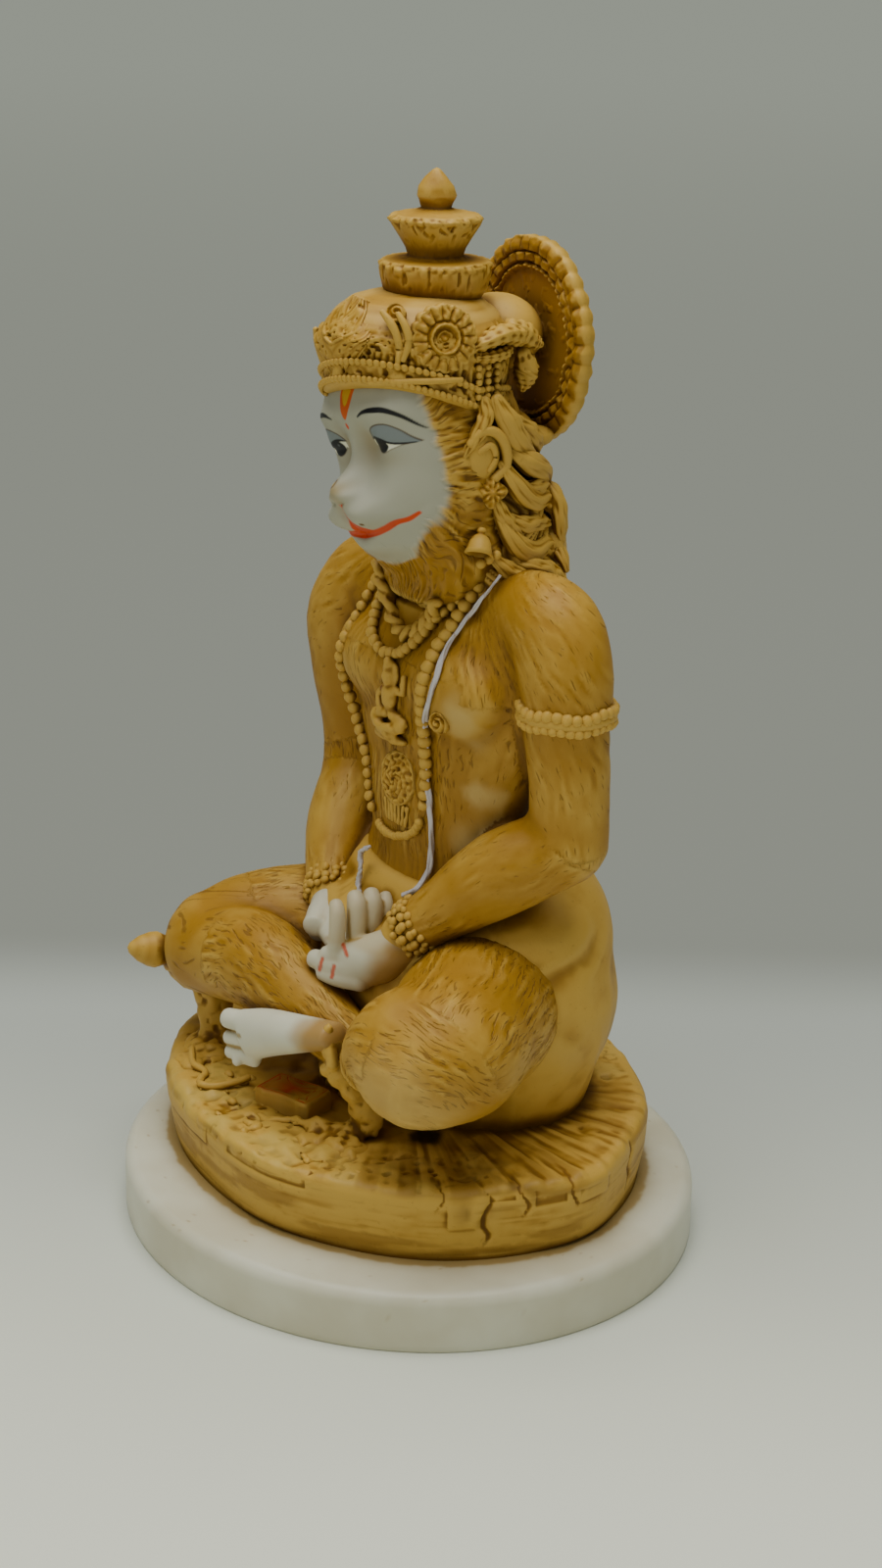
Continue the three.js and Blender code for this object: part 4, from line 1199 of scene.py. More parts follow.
def face_paint(form, away, skin):
    """The painted face, as colours with cover: painted shade first, a darker grey over the bare skin and a
    brownish one round the inner eyes and under them; then brow mark, brows, lids, eyes, nose drop and mouth.
    away is 0 on the face and 1 behind it; skin is 1 where the marble is bare.
    """
    tones = colours()
    x, _, z = form.points.T
    aside = np.abs(x)
    # Painted shade: the bare face is laid over with a darker grey than the other bare marble.
    form.paint((0.33, 0.33, 0.25), 0.75 * skin)
    # Painted shade round the inner eyes and under them, in the stain colour.
    shade = 0.5 * bump(aside, z, 3.6, 129, 1.9, 3.2) + 0.22 * bump(aside, z, 7.5, 126, 3.5, 1.4)
    form.paint(np.array(tones.stain) * 0.8 + 0.05, shade)
    left = np.where(x > 0, x, x + 100)
    right = np.where(x < 0, -x, 100 - x)
    for side in (left, right):
        lid = between(side, z, CREASE, LASHES)
        white = between(side, z, LASHES, EYE_FOOT)
        form.paint(tones.lid, 0.95 * lid)
        form.paint(np.array(tones.marble) * 1.3, white)
        iris = 1 - ramp(np.hypot((side - 7.4) / 1.75, (z - 128.7) / 1.5), 0.94, 1.06)
        form.paint(tones.black, iris * np.maximum(white, 0))
        glint = 1 - ramp(np.hypot(side - 6.8, z - 129.2), 0.12, 0.3)
        form.paint(np.array(tones.lid) * 0.8, 0.5 * glint * iris)
        form.paint(tones.black, drawn(side, z, [[*spot, w] for spot, w in zip(LASHES, LASH_WIDTHS)]))
        form.paint(np.array(tones.umber) * 0.5, 0.9 * drawn(side, z, [[a, b, 0.13] for a, b in CREASE]))
        form.paint(np.array(tones.umber) * 0.5, 0.7 * drawn(side, z, [[a, b, 0.09] for a, b in EYE_FOOT]))
        brow = [
            [4.5, 134.0, 0.14], [6.4, 134.7, 0.34], [8.8, 134.9, 0.5], [11.1, 134.6, 0.48],
            [13.2, 133.3, 0.36], [14.8, 130.9, 0.1],
        ]
        form.paint(tones.black, drawn(side, z, brow))
    mark_foot = [(-1.3, 138), (-0.5, 135.2), (0.7, 133.7), (1.9, 135.2), (3.1, 139)]
    mark = between(x, z, [(-1.3, 142), (0.9, 142), (3.1, 142)], mark_foot)
    orange = np.array(tones.vermilion) * (1, 1.7, 1)
    form.paint(orange, mark)
    hollow_foot = [(-0.6, 138), (0.4, 136.2), (1.0, 136.2), (2.0, 138.6)]
    hollow = between(x, z, [(-0.6, 142), (0.7, 142), (2.0, 142)], hollow_foot)
    form.paint(tones.yellow, 0.9 * hollow)
    form.paint(tones.vermilion, drawn(x, z, [[0.45, 132.9, 0.2], [0.5, 132.5, 0.32], [0.5, 132.1, 0.16]]))
    form.paint(tones.stain, 0.5 * bump(x, z, 0.6, 121.8, 1.8, 1.2) + 0.3 * bump(x, z, 0.4, 119.4, 1.6, 1.6))
    ring = peak(np.hypot(x + 0.4, z - 122.7), 0.62, 0.2)
    form.paint(tones.umber, 0.8 * ring)
    form.paint(tones.yellow, 0.6 * (1 - ramp(np.hypot(x + 0.4, z - 122.7), 0.3, 0.5)))
    mouth = SMILE + [[0, 113.2, 0.85]] + [[-a, b, w] for a, b, w in SMILE[::-1]]
    form.paint(tones.vermilion, drawn(x, z, mouth))
    widen = 0.4 + np.where(x > 0.6, 0.3, 0.13) * np.clip(118.8 - z, 0, 6) ** 1.5
    notch = ramp(np.abs(x - 0.6), 0.05, 0.25) + ramp(118.0 - z, 0, 0.5)
    fork = 1 - ramp(np.abs(x - 0.6) - widen - 0.25 * ramp(z, 117.6, 118.8), -0.09, 0.09)
    fork *= ramp(z, 112.8, 113.2) * (1 - ramp(z, 118.8, 119.1))
    form.paint(tones.vermilion, fork * np.clip(notch, 0, 1))
    form.paint(tones.umber, drawn(x, z, [[4.3, 115.1, 0.22], [4.7, 115.1, 0.2]]))
    form.values["paint"][:, 3] *= 1 - away


def head_form():
    """Face, cheeks and beard: the skull's sections from the beard up to the crown, painted, then tilted."""
    turn = np.linspace(-np.pi, np.pi, 321)[None, :-1]
    turn = turn * (0.42 + 0.58 * (turn / np.pi) ** 2)
    z = np.concatenate([np.linspace(99.2, 107.6, 32)[:-1], np.linspace(107.6, 142.4, 250)])[:, None]
    form = wrapped(skull_point(turn, z))
    p = form.points
    around = np.arctan2(p[:, 0], -p[:, 1]) * 15
    rise = p[:, 2] - 124
    form.values["fur"] = xyz(np.hypot(around, rise), np.arctan2(around, -rise) * 16, np.full(len(p), 50.0))
    stroke = stroke_height(form.values["fur"], 3.4, 0.5, 11)
    jaw = np.interp(
        p[:, 2], [107, 108.3, 111, 113.8, 118, 122.7, 128, 136, 141],
        [0, 6.5, 9.6, 12.4, 15, 15.8, 16.2, 16.4, 16],
    )
    edge = np.interp(
        p[:, 2], [109, 111, 114, 117, 121, 124, 128, 133, 139],
        [-8.0, -6.2, -5.2, -4.8, -4.6, -5.2, -6.2, -7.6, -8.4],
    )
    ragged = 0.5 * stroke + 0.5 * noise(p / 2.6, 12)
    skin = 1 - ramp(np.abs(p[:, 0]) - jaw + ragged, -0.7, 0.9)
    skin *= 1 - ramp(p[:, 1] - edge + ragged, -0.9, 0.9)
    form.values["skin"] = skin
    form.values["cover"] = 1 - skin
    away = ramp(p[:, 1], -4, 0)
    face_paint(form, away, skin)
    form.raised((1 - skin) * (0.35 + 0.26 * stroke))
    form.points = rolled(form.points, ramp(form.points[:, 2], 99, 109))
    return form


# Hair, crown and halo

HAIR = np.array([
    [142, 3, 12.6, 11.6],
    [141, 3.5, 13.4, 11.8],
    [131, 6.2, 14.2, 11],
    [126, 7.4, 14.6, 11],
    [121.5, 9.2, 15.6, 12],
    [117, 11, 17.2, 13.4],
    [111, 11.2, 18.2, 13.4],
    [105, 12, 20, 14],
    [99, 12.6, 20.4, 13.4],
    [97, 12.6, 19.4, 12.2],
])


def on_hair(angle, z, lift):
    """A point on the hair's mass: angle 0 is straight behind, a quarter turn is the left side."""
    y, width, depth = (np.interp(-np.asarray(z, float), -HAIR[:, 0], HAIR[:, k]) for k in (1, 2, 3))
    return xyz(np.sin(angle) * (width + lift), y + np.cos(angle) * (depth + lift), z + 0 * angle)


LOCKS = [
    [
        [16.8, 5.4, 138.6, 1.2], [17.2, 7.6, 134.5, 2.4], [16.6, 10.4, 130.6, 2.3], [14.8, 14, 127.6, 1.7],
        [13.8, 15.8, 125.6, 0.8],
    ],
    [
        [16.4, 8.6, 129.4, 1.1], [16.8, 12, 126.8, 2.1], [14.6, 16.6, 124.6, 2.3], [12.2, 19.6, 122.4, 2.0],
        [12.2, 19.2, 119.8, 1.4], [14.8, 16.4, 119, 0.6],
    ],
    [
        [17, 6.6, 127, 1], [17.6, 8.8, 123.8, 1.9], [17.4, 11.4, 121, 2.1], [16.2, 15, 119, 2],
        [13.8, 19, 118.4, 1.8], [13.6, 21.2, 116, 1.7], [14.6, 21.6, 112.8, 1.2], [14.6, 21.8, 110.4, 0.5],
    ],
    [
        [12, 19.6, 121, 0.9], [13.6, 20.8, 119.6, 1.8], [14.8, 21.4, 116.8, 1.8], [15.2, 21.6, 113.2, 1.6],
        [15, 22, 110.4, 1],
    ],
    [
        [17.4, 6, 118, 0.9], [18.2, 7.8, 114.2, 1.8], [18.4, 10.2, 111.4, 2.1], [17.2, 14, 109.8, 2.2],
        [14.8, 18.6, 110, 1.9], [14.6, 20.8, 109.4, 1.6], [16.2, 21.6, 107.4, 1.4],
        [17.4, 21.8, 105.2, 0.6],
    ],
    [[17.4, 8.6, 117, 0.8], [17.6, 11.6, 115.4, 1.6], [16, 15.8, 114.8, 1.7], [14.4, 19.2, 114, 1]],
    [[17.4, 5, 121.6, 0.7], [17.8, 6.4, 118.2, 1.4], [18, 8.4, 115.4, 1.5], [17.6, 11, 113.2, 0.8]],
    [[18, 4.6, 110.4, 0.9], [18.8, 7.6, 107.6, 1.7], [19.2, 11.4, 105.2, 1.8], [19, 14.4, 102.8, 0.9]],
    [[17.8, 13.4, 107.8, 1], [16.8, 18, 105.6, 1.9], [17, 20.6, 103.4, 1.7], [18.2, 21.4, 101, 0.7]],
    [[16.2, 3.2, 138.6, 1], [17, 3.2, 135.6, 1.5], [17.2, 1.2, 132.2, 1.2], [16.6, -0.8, 128.8, 0.6]],
    [[15.8, 11, 134, 1], [14.2, 15, 131, 1.9], [12.4, 17.4, 128.6, 1.8], [11, 18.6, 126, 0.8]],
    [
        [18.2, 9, 109, 0.8], [18.8, 12.4, 107.6, 1.7], [18.2, 15.8, 106.4, 1.8], [17.6, 18.8, 103.8, 1.6],
        [18.4, 20.4, 100.8, 0.7],
    ],
    [[19, 8, 105, 0.8], [19.6, 11.4, 102.8, 1.7], [19.4, 15.2, 101.4, 1.7], [18.6, 18, 99.6, 0.7]],
    [[16.8, 12, 122, 0.7], [15.8, 15.6, 121.4, 1.5], [13.4, 19, 120.6, 1.4], [12.6, 20.4, 118.4, 0.6]],
]


def hair_form():
    """Long hair: a mass with wavy grooves, curly locks laid over each side, and locks behind that wind down
    as slow waves in angle round the head. Each lock has fine strands along it.
    """
    angle = np.linspace(0, 2 * np.pi, 240, endpoint=False)[None]
    z = np.linspace(141.6, 97.4, 110)[:, None]
    sway = 0.24 * np.sin(z * 0.42 + 2.6 * np.sin(angle)) * np.sign(np.sin(angle))
    groove = 0.5 * np.cos(9 * (angle + sway)) + 0.2 * np.cos(38 * (angle + 1.2 * sway) + 0.3 * z)
    rings = on_hair(angle + 0 * z, z + 0 * angle, groove * ramp(142 - z, 0, 9))
    parts = [wrapped(rings)]

    def strands(s, a):
        """Fine ridges that wind slowly round a lock."""
        return 0.12 * np.cos(6 * a + 7 * s) + 0.05 * np.cos(13 * a - 9 * s) + 0.1 * np.sin(23 * s + 2 * a)

    for rows in LOCKS:
        x, y = rows[len(rows) // 2][:2]
        lock = limb(
            [[*row, row[3] * 0.8] for row in rows], around=44, step=0.45, up=(x, y - 9, 2), cap=0.8,
            swell=strands,
        )
        other = lock.mirrored()
        other.points = rolled(other.points, 1.2 * ramp(other.points[:, 2], 108, 124))
        parts += [lock, other]
    draw = np.random.default_rng(11)
    for number, begin in enumerate([0.0, 0.26, 0.5, 0.13, 0.38, 0.62]):
        for side in ((1, -1) if begin else (1,)):
            top = 138 - (13 + 5 * draw.random() if number > 3 else 2 * draw.random())
            low = 99.5 + 6 * draw.random()
            share = np.linspace(0, 1, 14)
            phase = draw.random() * 6.28
            sweep = 0.16 * np.sin(2 * np.pi * (2.0 + 0.5 * draw.random()) * share + phase) * (0.4 + share)
            lift = 0.1 + 0.7 * share + 1.0 * ramp(share, 0.75, 1) + 0.5 * np.sin(5.2 * share + phase)
            spot = on_hair(begin + sweep, top + (low - top) * share, lift)
            wide = (
                (1.3 + 1.3 * np.sin(np.pi * share) ** 0.6 + 0.4 * draw.random())
                * (1 - 0.62 * ramp(share, 0.8, 1))
            )
            rows = [[side * p[0], p[1], p[2], r, r * 0.82] for p, r in zip(spot, wide)]
            outward = (side * math.sin(begin), math.cos(begin), 0.1)
            parts.append(limb(rows, around=40, step=0.6, up=outward, cap=0.9, swell=strands))
    return joined(parts)


def ears_form():
    """Ears with their folded rims, a square flower below each and a hollow bell with small drops."""
    rim = limb(
        [
            [17, 0, 131, 0.8], [17.6, 2.2, 133.2, 0.9], [18, 5, 132.6, 1.0], [18, 7, 129.6, 1.0],
            [17.6, 7.4, 126.4, 0.9], [17.6, 5, 124.4, 0.9],
        ],
        around=16,
        step=0.4,
    )
    bowl = egg((16.6, 3.2, 128.6), (1.5, 3.4, 4.4), 0.6)
    fold = limb(
        [[17.6, 1.6, 129.6, 0.6], [18, 3.8, 130.6, 0.7], [18, 4.8, 128.2, 0.6], [17.8, 3.6, 126, 0.5]],
        around=12, step=0.4,
    )
    way = (0.95, -0.28, 0.1)

    def petals(r, a):
        """Four lobed petals round a boss, with dots."""
        lobes = 0.6 * np.cos(4 * a) ** 2 * peak(r, 1.6, 0.7)
        return (
            0.8 * ramp(r, 2.6, 1.4) + lobes + 0.8 * peak(r, 0, 0.7)
            + 0.12 * np.cos(13 * a) * ramp(r, 1.2, 2)
        )

    flower = disc((17.6, 4.4, 122.0), way, 2.7, 1.6, petals, edge=lambda a: 0.14 * np.cos(4 * a))
    bell = turned(
        [
            [0, 2.9], [0.7, 2.8], [0.9, 2.2], [0.6, 1.8], [1.4, 1.2], [2, 0.2], [2.3, -1.1], [2.6, -1.9],
            [2.2, -2.1], [1.6, -1.0], [0, -0.4],
        ],
        40,
        (19.3, 1.0, 113.4),
        (-0.3, 0.34, 0.89),
        count=50,
    )
    drops = [
        egg((20, 2.6 + dy, 110.4 + dz), (0.9, 0.9, 0.9), 0.5)
        for dy, dz in ((0, 0), (1.6, 0.6), (-1.7, -0.6))
    ]
    left = joined([rim, bowl, fold, flower, bell, *drops])
    right = left.mirrored()
    right.points = rolled(rolled(left.points, -1) * (-1, 1, 1), 1)
    return joined([left, right])


def disc(centre, way, radius, thick, height, edge=None, flat=(1, 1), around=96, rows=40):
    """A round plate with a carved face: the face's height over (radius, angle) is a given function, the edge
    may be scalloped by a share of the radius, and the back is lightly domed.
    """
    angle = circle(around)[None]
    out = 1 if edge is None else 1 + edge(angle)
    face = np.linspace(0.02, 1, rows)[:, None] * radius
    back = np.linspace(1, 0.05, rows // 2)[:, None] * radius
    top = np.broadcast_to(height(face, angle), (rows, around))
    under = -thick * np.sqrt(np.clip(1 - 0.55 * (back / radius) ** 2, 0, 1)) + 0 * angle
    r = np.vstack([face * np.ones_like(angle), back * np.ones_like(angle)])
    blend = (r / radius) ** 2 if edge is not None else 0
    r = r * (1 + (out - 1) * blend)
    high = np.vstack([top, under])
    local = xyz(r * np.cos(angle) * flat[0], r * np.sin(angle) * flat[1], high)
    way, aside, upright = square_to(way)
    turn = np.stack([aside, upright, way])
    return wrapped(local @ turn + np.asarray(centre, float))


def rosette_height(r, a):
    """A boss in two rings among sixteen petals with ragged ends."""
    petals = (
        (1.0 - 0.5 * ramp(r, 4.2, 5.6)) * ramp(r, 2.9, 3.5)
        * (0.45 + 0.55 * np.abs(np.cos(8 * a + 0.2 * r)) ** 0.8)
    )
    ring = 1.3 * peak(r, 2.5, 0.5) + 0.5 * peak(r, 1.3, 0.3)
    rough = 0.22 * noise(xyz(r * np.cos(a), r * np.sin(a), 0 * r) * 1.4, 64)
    return 0.7 + petals + ring + 0.9 * peak(r, 0, 0.7) + rough


def seated(form):
    """The form with its low parts raised in front and tilted like the head, and its top left level."""
    x, y, z = form.points.T
    lift = 0.244 * x - 0.396 * np.minimum(y, 2.5) - 3.0
    form.points = np.column_stack([x, y, z + lift * (1 - ramp(z, 140, 153))])
    return form


def crown_form():
    """The crown: a cap with a beaded band, pits and fine lines, two bowls with ragged rims and a bud, with a
    hatched leaf in front and a rosette, scrolls, a curled leaf, a hanging bud and bead rows on each side.
    """
    def spots(a, r, z, size):
        """Places on a turned form, in steps of the given size."""
        return xyz(r * np.cos(a), r * np.sin(a), z + 0 * a) / size

    def cap_rim(a, r, z):
        """Pits and lumps low down, short upright hatching above the band, faint level lines on the dome."""
        low = ramp(z, 152.5, 147.5) * ramp(z, 136.4, 138)
        pits = -0.6 * ramp(noise(spots(a, r, z, 0.95), 61), 0.3, 0.65)
        lumps = 0.4 * noise(spots(a, r, z, 2.0), 62) + 0.2 * noise(spots(a, r, z, 1.0), 65)
        hatch = 0.2 * np.cos(84 * a + 4 * noise(spots(a, r, z, 4.0), 63)) * peak(z, 141.8, 1.5)
        return (pits + lumps) * low + hatch + 0.05 * np.cos(z * 6) * ramp(z, 150, 152.5)

    cap = turned(
        [
            [0, 136.4], [15.4, 136.4], [16.2, 137], [16.3, 140], [15.7, 140.6], [16.4, 143], [16.6, 145.4],
            [16.3, 148], [15.5, 150.4], [14, 152.4], [11.4, 154.4], [8, 155.4], [0, 156],
        ],
        420,
        (0, -0.8, 0),
        count=120,
        rim=cap_rim,
        flatten=(1, 1.04),
    )

    def bowl_rim(a, r, z):
        """Ragged rims, upright scratches and pits that fade downwards, and a bud with one soft fold."""
        ragged = (
            (0.3 * noise(spots(a, r, z, 1.2), 66) + 0.3 * noise(spots(a, r, z, 0.8), 67))
            * (peak(z, 160.2, 1.1) + peak(z, 168.4, 0.9))
        )
        tall = spots(a, r, z, 1.0) / (0.7, 0.7, 2.6)
        marks = -0.3 * ramp(noise(tall, 68), 0.15, 0.6) * (peak(z, 159, 2.2) + peak(z, 167, 2))
        teeth = (
            -0.4 * ramp(np.cos(9 * a + 2) - 0.5 * (167.4 - z), 0.25, 0.8) * ramp(z, 164, 165)
            * ramp(z, 168, 167.4)
        )
        fold = 0.22 * np.cos(3 * a + 0.5 * z) * ramp(z, 170.6, 172) * ramp(z, 177, 174.5)
        return ragged + marks + teeth + fold

    tiers = turned(
        [
            [0, 152.6], [7.4, 153.4], [8.2, 154.2], [9.4, 156], [10, 158.4], [10.2, 160.3], [9.6, 160.9],
            [6, 161.2], [5.0, 161.7], [5.4, 163], [6.6, 165], [7.9, 167], [8.4, 168.2], [7.6, 168.9],
            [4.2, 169.5], [2.7, 170.0], [3.0, 170.9], [3.5, 172.2], [3.1, 173.8], [1.9, 175.4],
            [0.7, 176.6], [0, 176.95],
        ],
        240,
        (0, 3.2, 0),
        count=150,
        rim=bowl_rim,
    )

    def leaf_hatch(share, a):
        """Slanting hatching that runs up and out from the leaf's middle line, and small pits."""
        across, along = np.broadcast_arrays(
            np.abs((a - 1.5 * np.pi + np.pi) % (2 * np.pi) - np.pi) * 5, share * 18,
        )
        slant = xyz(across * 0.8 - along * 0.6, (across * 0.6 + along * 0.8) / 4, 0 * across)
        lines = noise(slant / (0.62, 1, 1), 69)
        return 0.42 * lines - 0.35 * ramp(noise(xyz(across, along, 0 * across + 3) / 0.8, 70), 0.4, 0.7)

    leaf = limb(
        [
            [0, -15.2, 137.4, 3, 1.2], [0, -16.3, 141.5, 6.4, 1.6], [0, -16.3, 146, 8.6, 1.8],
            [0, -14.6, 150.6, 6.6, 1.8], [0, -12.4, 154.8, 2.2, 1.1],
        ],
        around=260,
        step=0.28,
        up=(0, 1, 0.2),
        cap=0.6,
        swell=leaf_hatch,
    )
    drop = turned(
        [[0, 3.6], [0.6, 2.4], [1.5, 0.6], [1.7, -0.6], [1, -1.8], [0, -2.2]], 30, (0.4, -17, 138.6),
        (0, 0, 1), count=24, flatten=(1, 0.6),
    )
    band = []
    for level, radius, count in ((137.2, 0.62, 96), (140.2, 0.7, 84)):
        around = circle(60)
        ring = xyz(16.35 * np.cos(around), -0.8 + 17 * np.sin(around), np.full(60, level))
        band += bead_string(ring, radius, count, around=9, closed=True)
    way = (0.96, -0.26, 0.12)
    sides = [
        disc(
            (14.4, -4.4, 149.6), way, 5.6, 1.8, rosette_height, edge=lambda a: 0.08 * np.abs(np.cos(8 * a)),
            around=192, rows=60,
        )
    ]
    scrolls = [
        [
            [9.4, -13.8, 154.2, 0.5], [11.0, -13.0, 152.4, 0.75], [11.9, -12.4, 150.6, 0.75],
            [12.3, -12.0, 148.2, 0.7], [12.1, -12.2, 145.6, 0.5],
        ],
        [
            [11.4, -11.8, 154.0, 0.5], [12.8, -11.2, 152, 0.7], [13.4, -10.8, 149.4, 0.7],
            [12.9, -11.6, 146.2, 0.5],
        ],
    ]
    sides += [limb(path, around=14, step=0.4) for path in scrolls]
    sides.append(
        disc(
            (10.2, -11.4, 153.8), (0.6, -0.6, 0.5), 1.7, 1.4, lambda r, a: 0.7 + 0.3 * np.cos(5.5 * r + a),
            around=40, rows=24,
        )
    )
    sides.append(
        limb(
            [
                [8.4, -15.4, 141.8, 0.5], [12.6, -11.6, 142.4, 0.6], [15.8, -6.6, 142.6, 0.6],
                [16.8, -2, 142.6, 0.5],
            ],
            around=14, step=0.4,
        )
    )

    def curled(share, a):
        """Fine pleats across a leaf."""
        return 0.16 * np.cos(11 * np.pi * share) + 0.14 * np.cos(7 * a)

    leaves = [
        [
            [16, 0.6, 147.6, 0.8, 0.7], [16.4, 3, 148.6, 1.7, 1.2], [15.8, 6, 149.4, 2.2, 1.5],
            [14, 9.6, 149.2, 2.4, 1.8], [12.6, 13, 148.4, 2, 1.8],
        ],
        [
            [16.2, 1.6, 146, 0.6, 0.6], [16.4, 4.4, 146, 1.1, 0.9], [15.6, 7.4, 146.2, 1.3, 1],
            [14, 10, 146.6, 0.8, 0.8],
        ],
        [[12.6, 11, 150, 1.6], [12.4, 14, 148.6, 2.2], [12.9, 16.4, 147, 1.3], [13.2, 17.4, 146.6, 0.7]],
        [[12.4, 14, 145.4, 1.3], [12.2, 15, 142.6, 2.2], [11.9, 15, 140.4, 1.9], [11.6, 14.8, 138.6, 0.8]],
    ]
    sides += [limb(rows, around=36, step=0.4, swell=curled) for rows in leaves]
    for x, y in ((16.2, 2.0), (15.8, 4.2), (15, 6.6)):
        sides += bead_string([[x, y, 144.8], [x + 0.2, y, 141.8], [x + 0.1, y, 138.4]], 0.66, 5, around=9)
    left = joined(sides)
    right = left.mirrored()
    right.points = rolled(rolled(left.points, -0.8) * (-1, 1, 1), 1.3) + (3.2, 1.4, 0)
    # Painted highlight: cream patches over the top of the cap, where the light from above falls.
    dome = ramp(cap.points[:, 2], 150.5, 152.5) * ramp(noise(cap.points / 5.0, 73), -0.8, 0.2)
    cap.paint((0.66, 0.43, 0.11), 0.55 * dome)
    return joined([seated(cap), tiers, seated(leaf), seated(drop), seated(joined(band)), left, right])


def halo_form():
    """The halo plate: two rows of rounded petals, a ring of small beads and a dish with a lotus in it, on
    both faces, with soft noise over all of it.
    """
    def face(r, a):
        """Heights of the carved face."""
        spot = xyz(r * np.cos(a), r * np.sin(a), 0 * r)
        outer = (
            ramp(r, 16.0, 16.5) * (1.0 + 0.6 * np.abs(np.cos(17 * a)) ** 0.7)
            * (1 - 0.5 * ramp(r, 17.6, 19.2))
        )
        inner = (
            ramp(r, 14.2, 14.6) * (1 - ramp(r, 15.9, 16.2)) * (0.8 + 0.6 * np.abs(np.sin(17 * a)) ** 0.7)
        )
        beads = peak(r, 13.5, 0.5) * (0.7 + 0.5 * np.abs(np.cos(30 * a)))
        lotus = (
            1.3 * np.exp(-((r / 5.4) ** 4)) * np.abs(np.cos(4 * a + 0.25 * r)) ** 0.6 * ramp(r, 0.2, 1.6)
            + 1.0 * peak(r, 0, 1.2)
        )
        return (
            outer + inner + beads + lotus + 0.3 * noise(spot / 1.6, 71) + 0.16 * noise(spot / 0.9, 72) + 0.2
        )

    def ragged(a):
        """The plate's slightly wavy outline."""
        return 0.016 * np.abs(np.cos(17 * a)) + 0.008 * np.sin(7 * a)

    plate = disc(
        (0, 24.6, 144.8), (0, -1, 0.02), 18.9, 1.5, face, edge=ragged, flat=(0.93, 1), around=400, rows=110,
    )
    behind = disc(
        (0, 25.2, 144.8), (0, 1, -0.02), 18.4, 1.0, lambda r, a: 0.4 + 0.5 * face(r, a), edge=ragged,
        flat=(0.93, 1), around=300, rows=80,
    )
    links = [
        egg((0, 17, 147), (9, 8, 7)), egg((0, 18, 128), (11, 5, 5.6)), egg((9.2, 19.4, 129), (3, 4, 2)),
    ]
    return joined([plate, behind, *links])


# Jewels, mace, tail and what lies on the rock

def front_of(forms, x, z, reach=1.1):
    """The y of the foremost point of some forms near (x, z)."""
    points = np.vstack([form.points for form in forms])
    near = (np.abs(points[:, 0] - x) < reach) & (np.abs(points[:, 2] - z) < reach)
    return points[near, 1].min() if near.any() else np.nan


def laid_on(path, forms, proud):
    """A path pushed forwards or back so that it lies on the front of some forms."""
    path = through(path, np.linspace(0, 1, 60))
    y = np.array([front_of(forms, p[0], p[2]) for p in path])
    known = ~np.isnan(y)
    y = np.interp(np.arange(60), np.flatnonzero(known), y[known])
    y = np.convolve(np.pad(y, 3, "edge"), np.ones(7) / 7, "valid")
    path[:, 1] = y - proud
    return path


def rope(path, radius, twists, around=20):
    """A twisted rope: a tube whose section has two lobes that turn along it."""
    rows = [[*p, radius] for p in path[:: max(1, len(path) // 24)]]

    def lobes(s, a):
        """Two lobes that turn along the rope."""
        return 0.28 * radius * np.cos(2 * a + 2 * np.pi * twists * s)

    return limb(rows, around=around, step=0.4, swell=lobes)


BRACELETS = [((14.8, -8.0, 39.8), (-0.62, -0.45, -0.64)), ((-18.8, -5.9, 35.4), (0.76, -0.5, -0.42))]


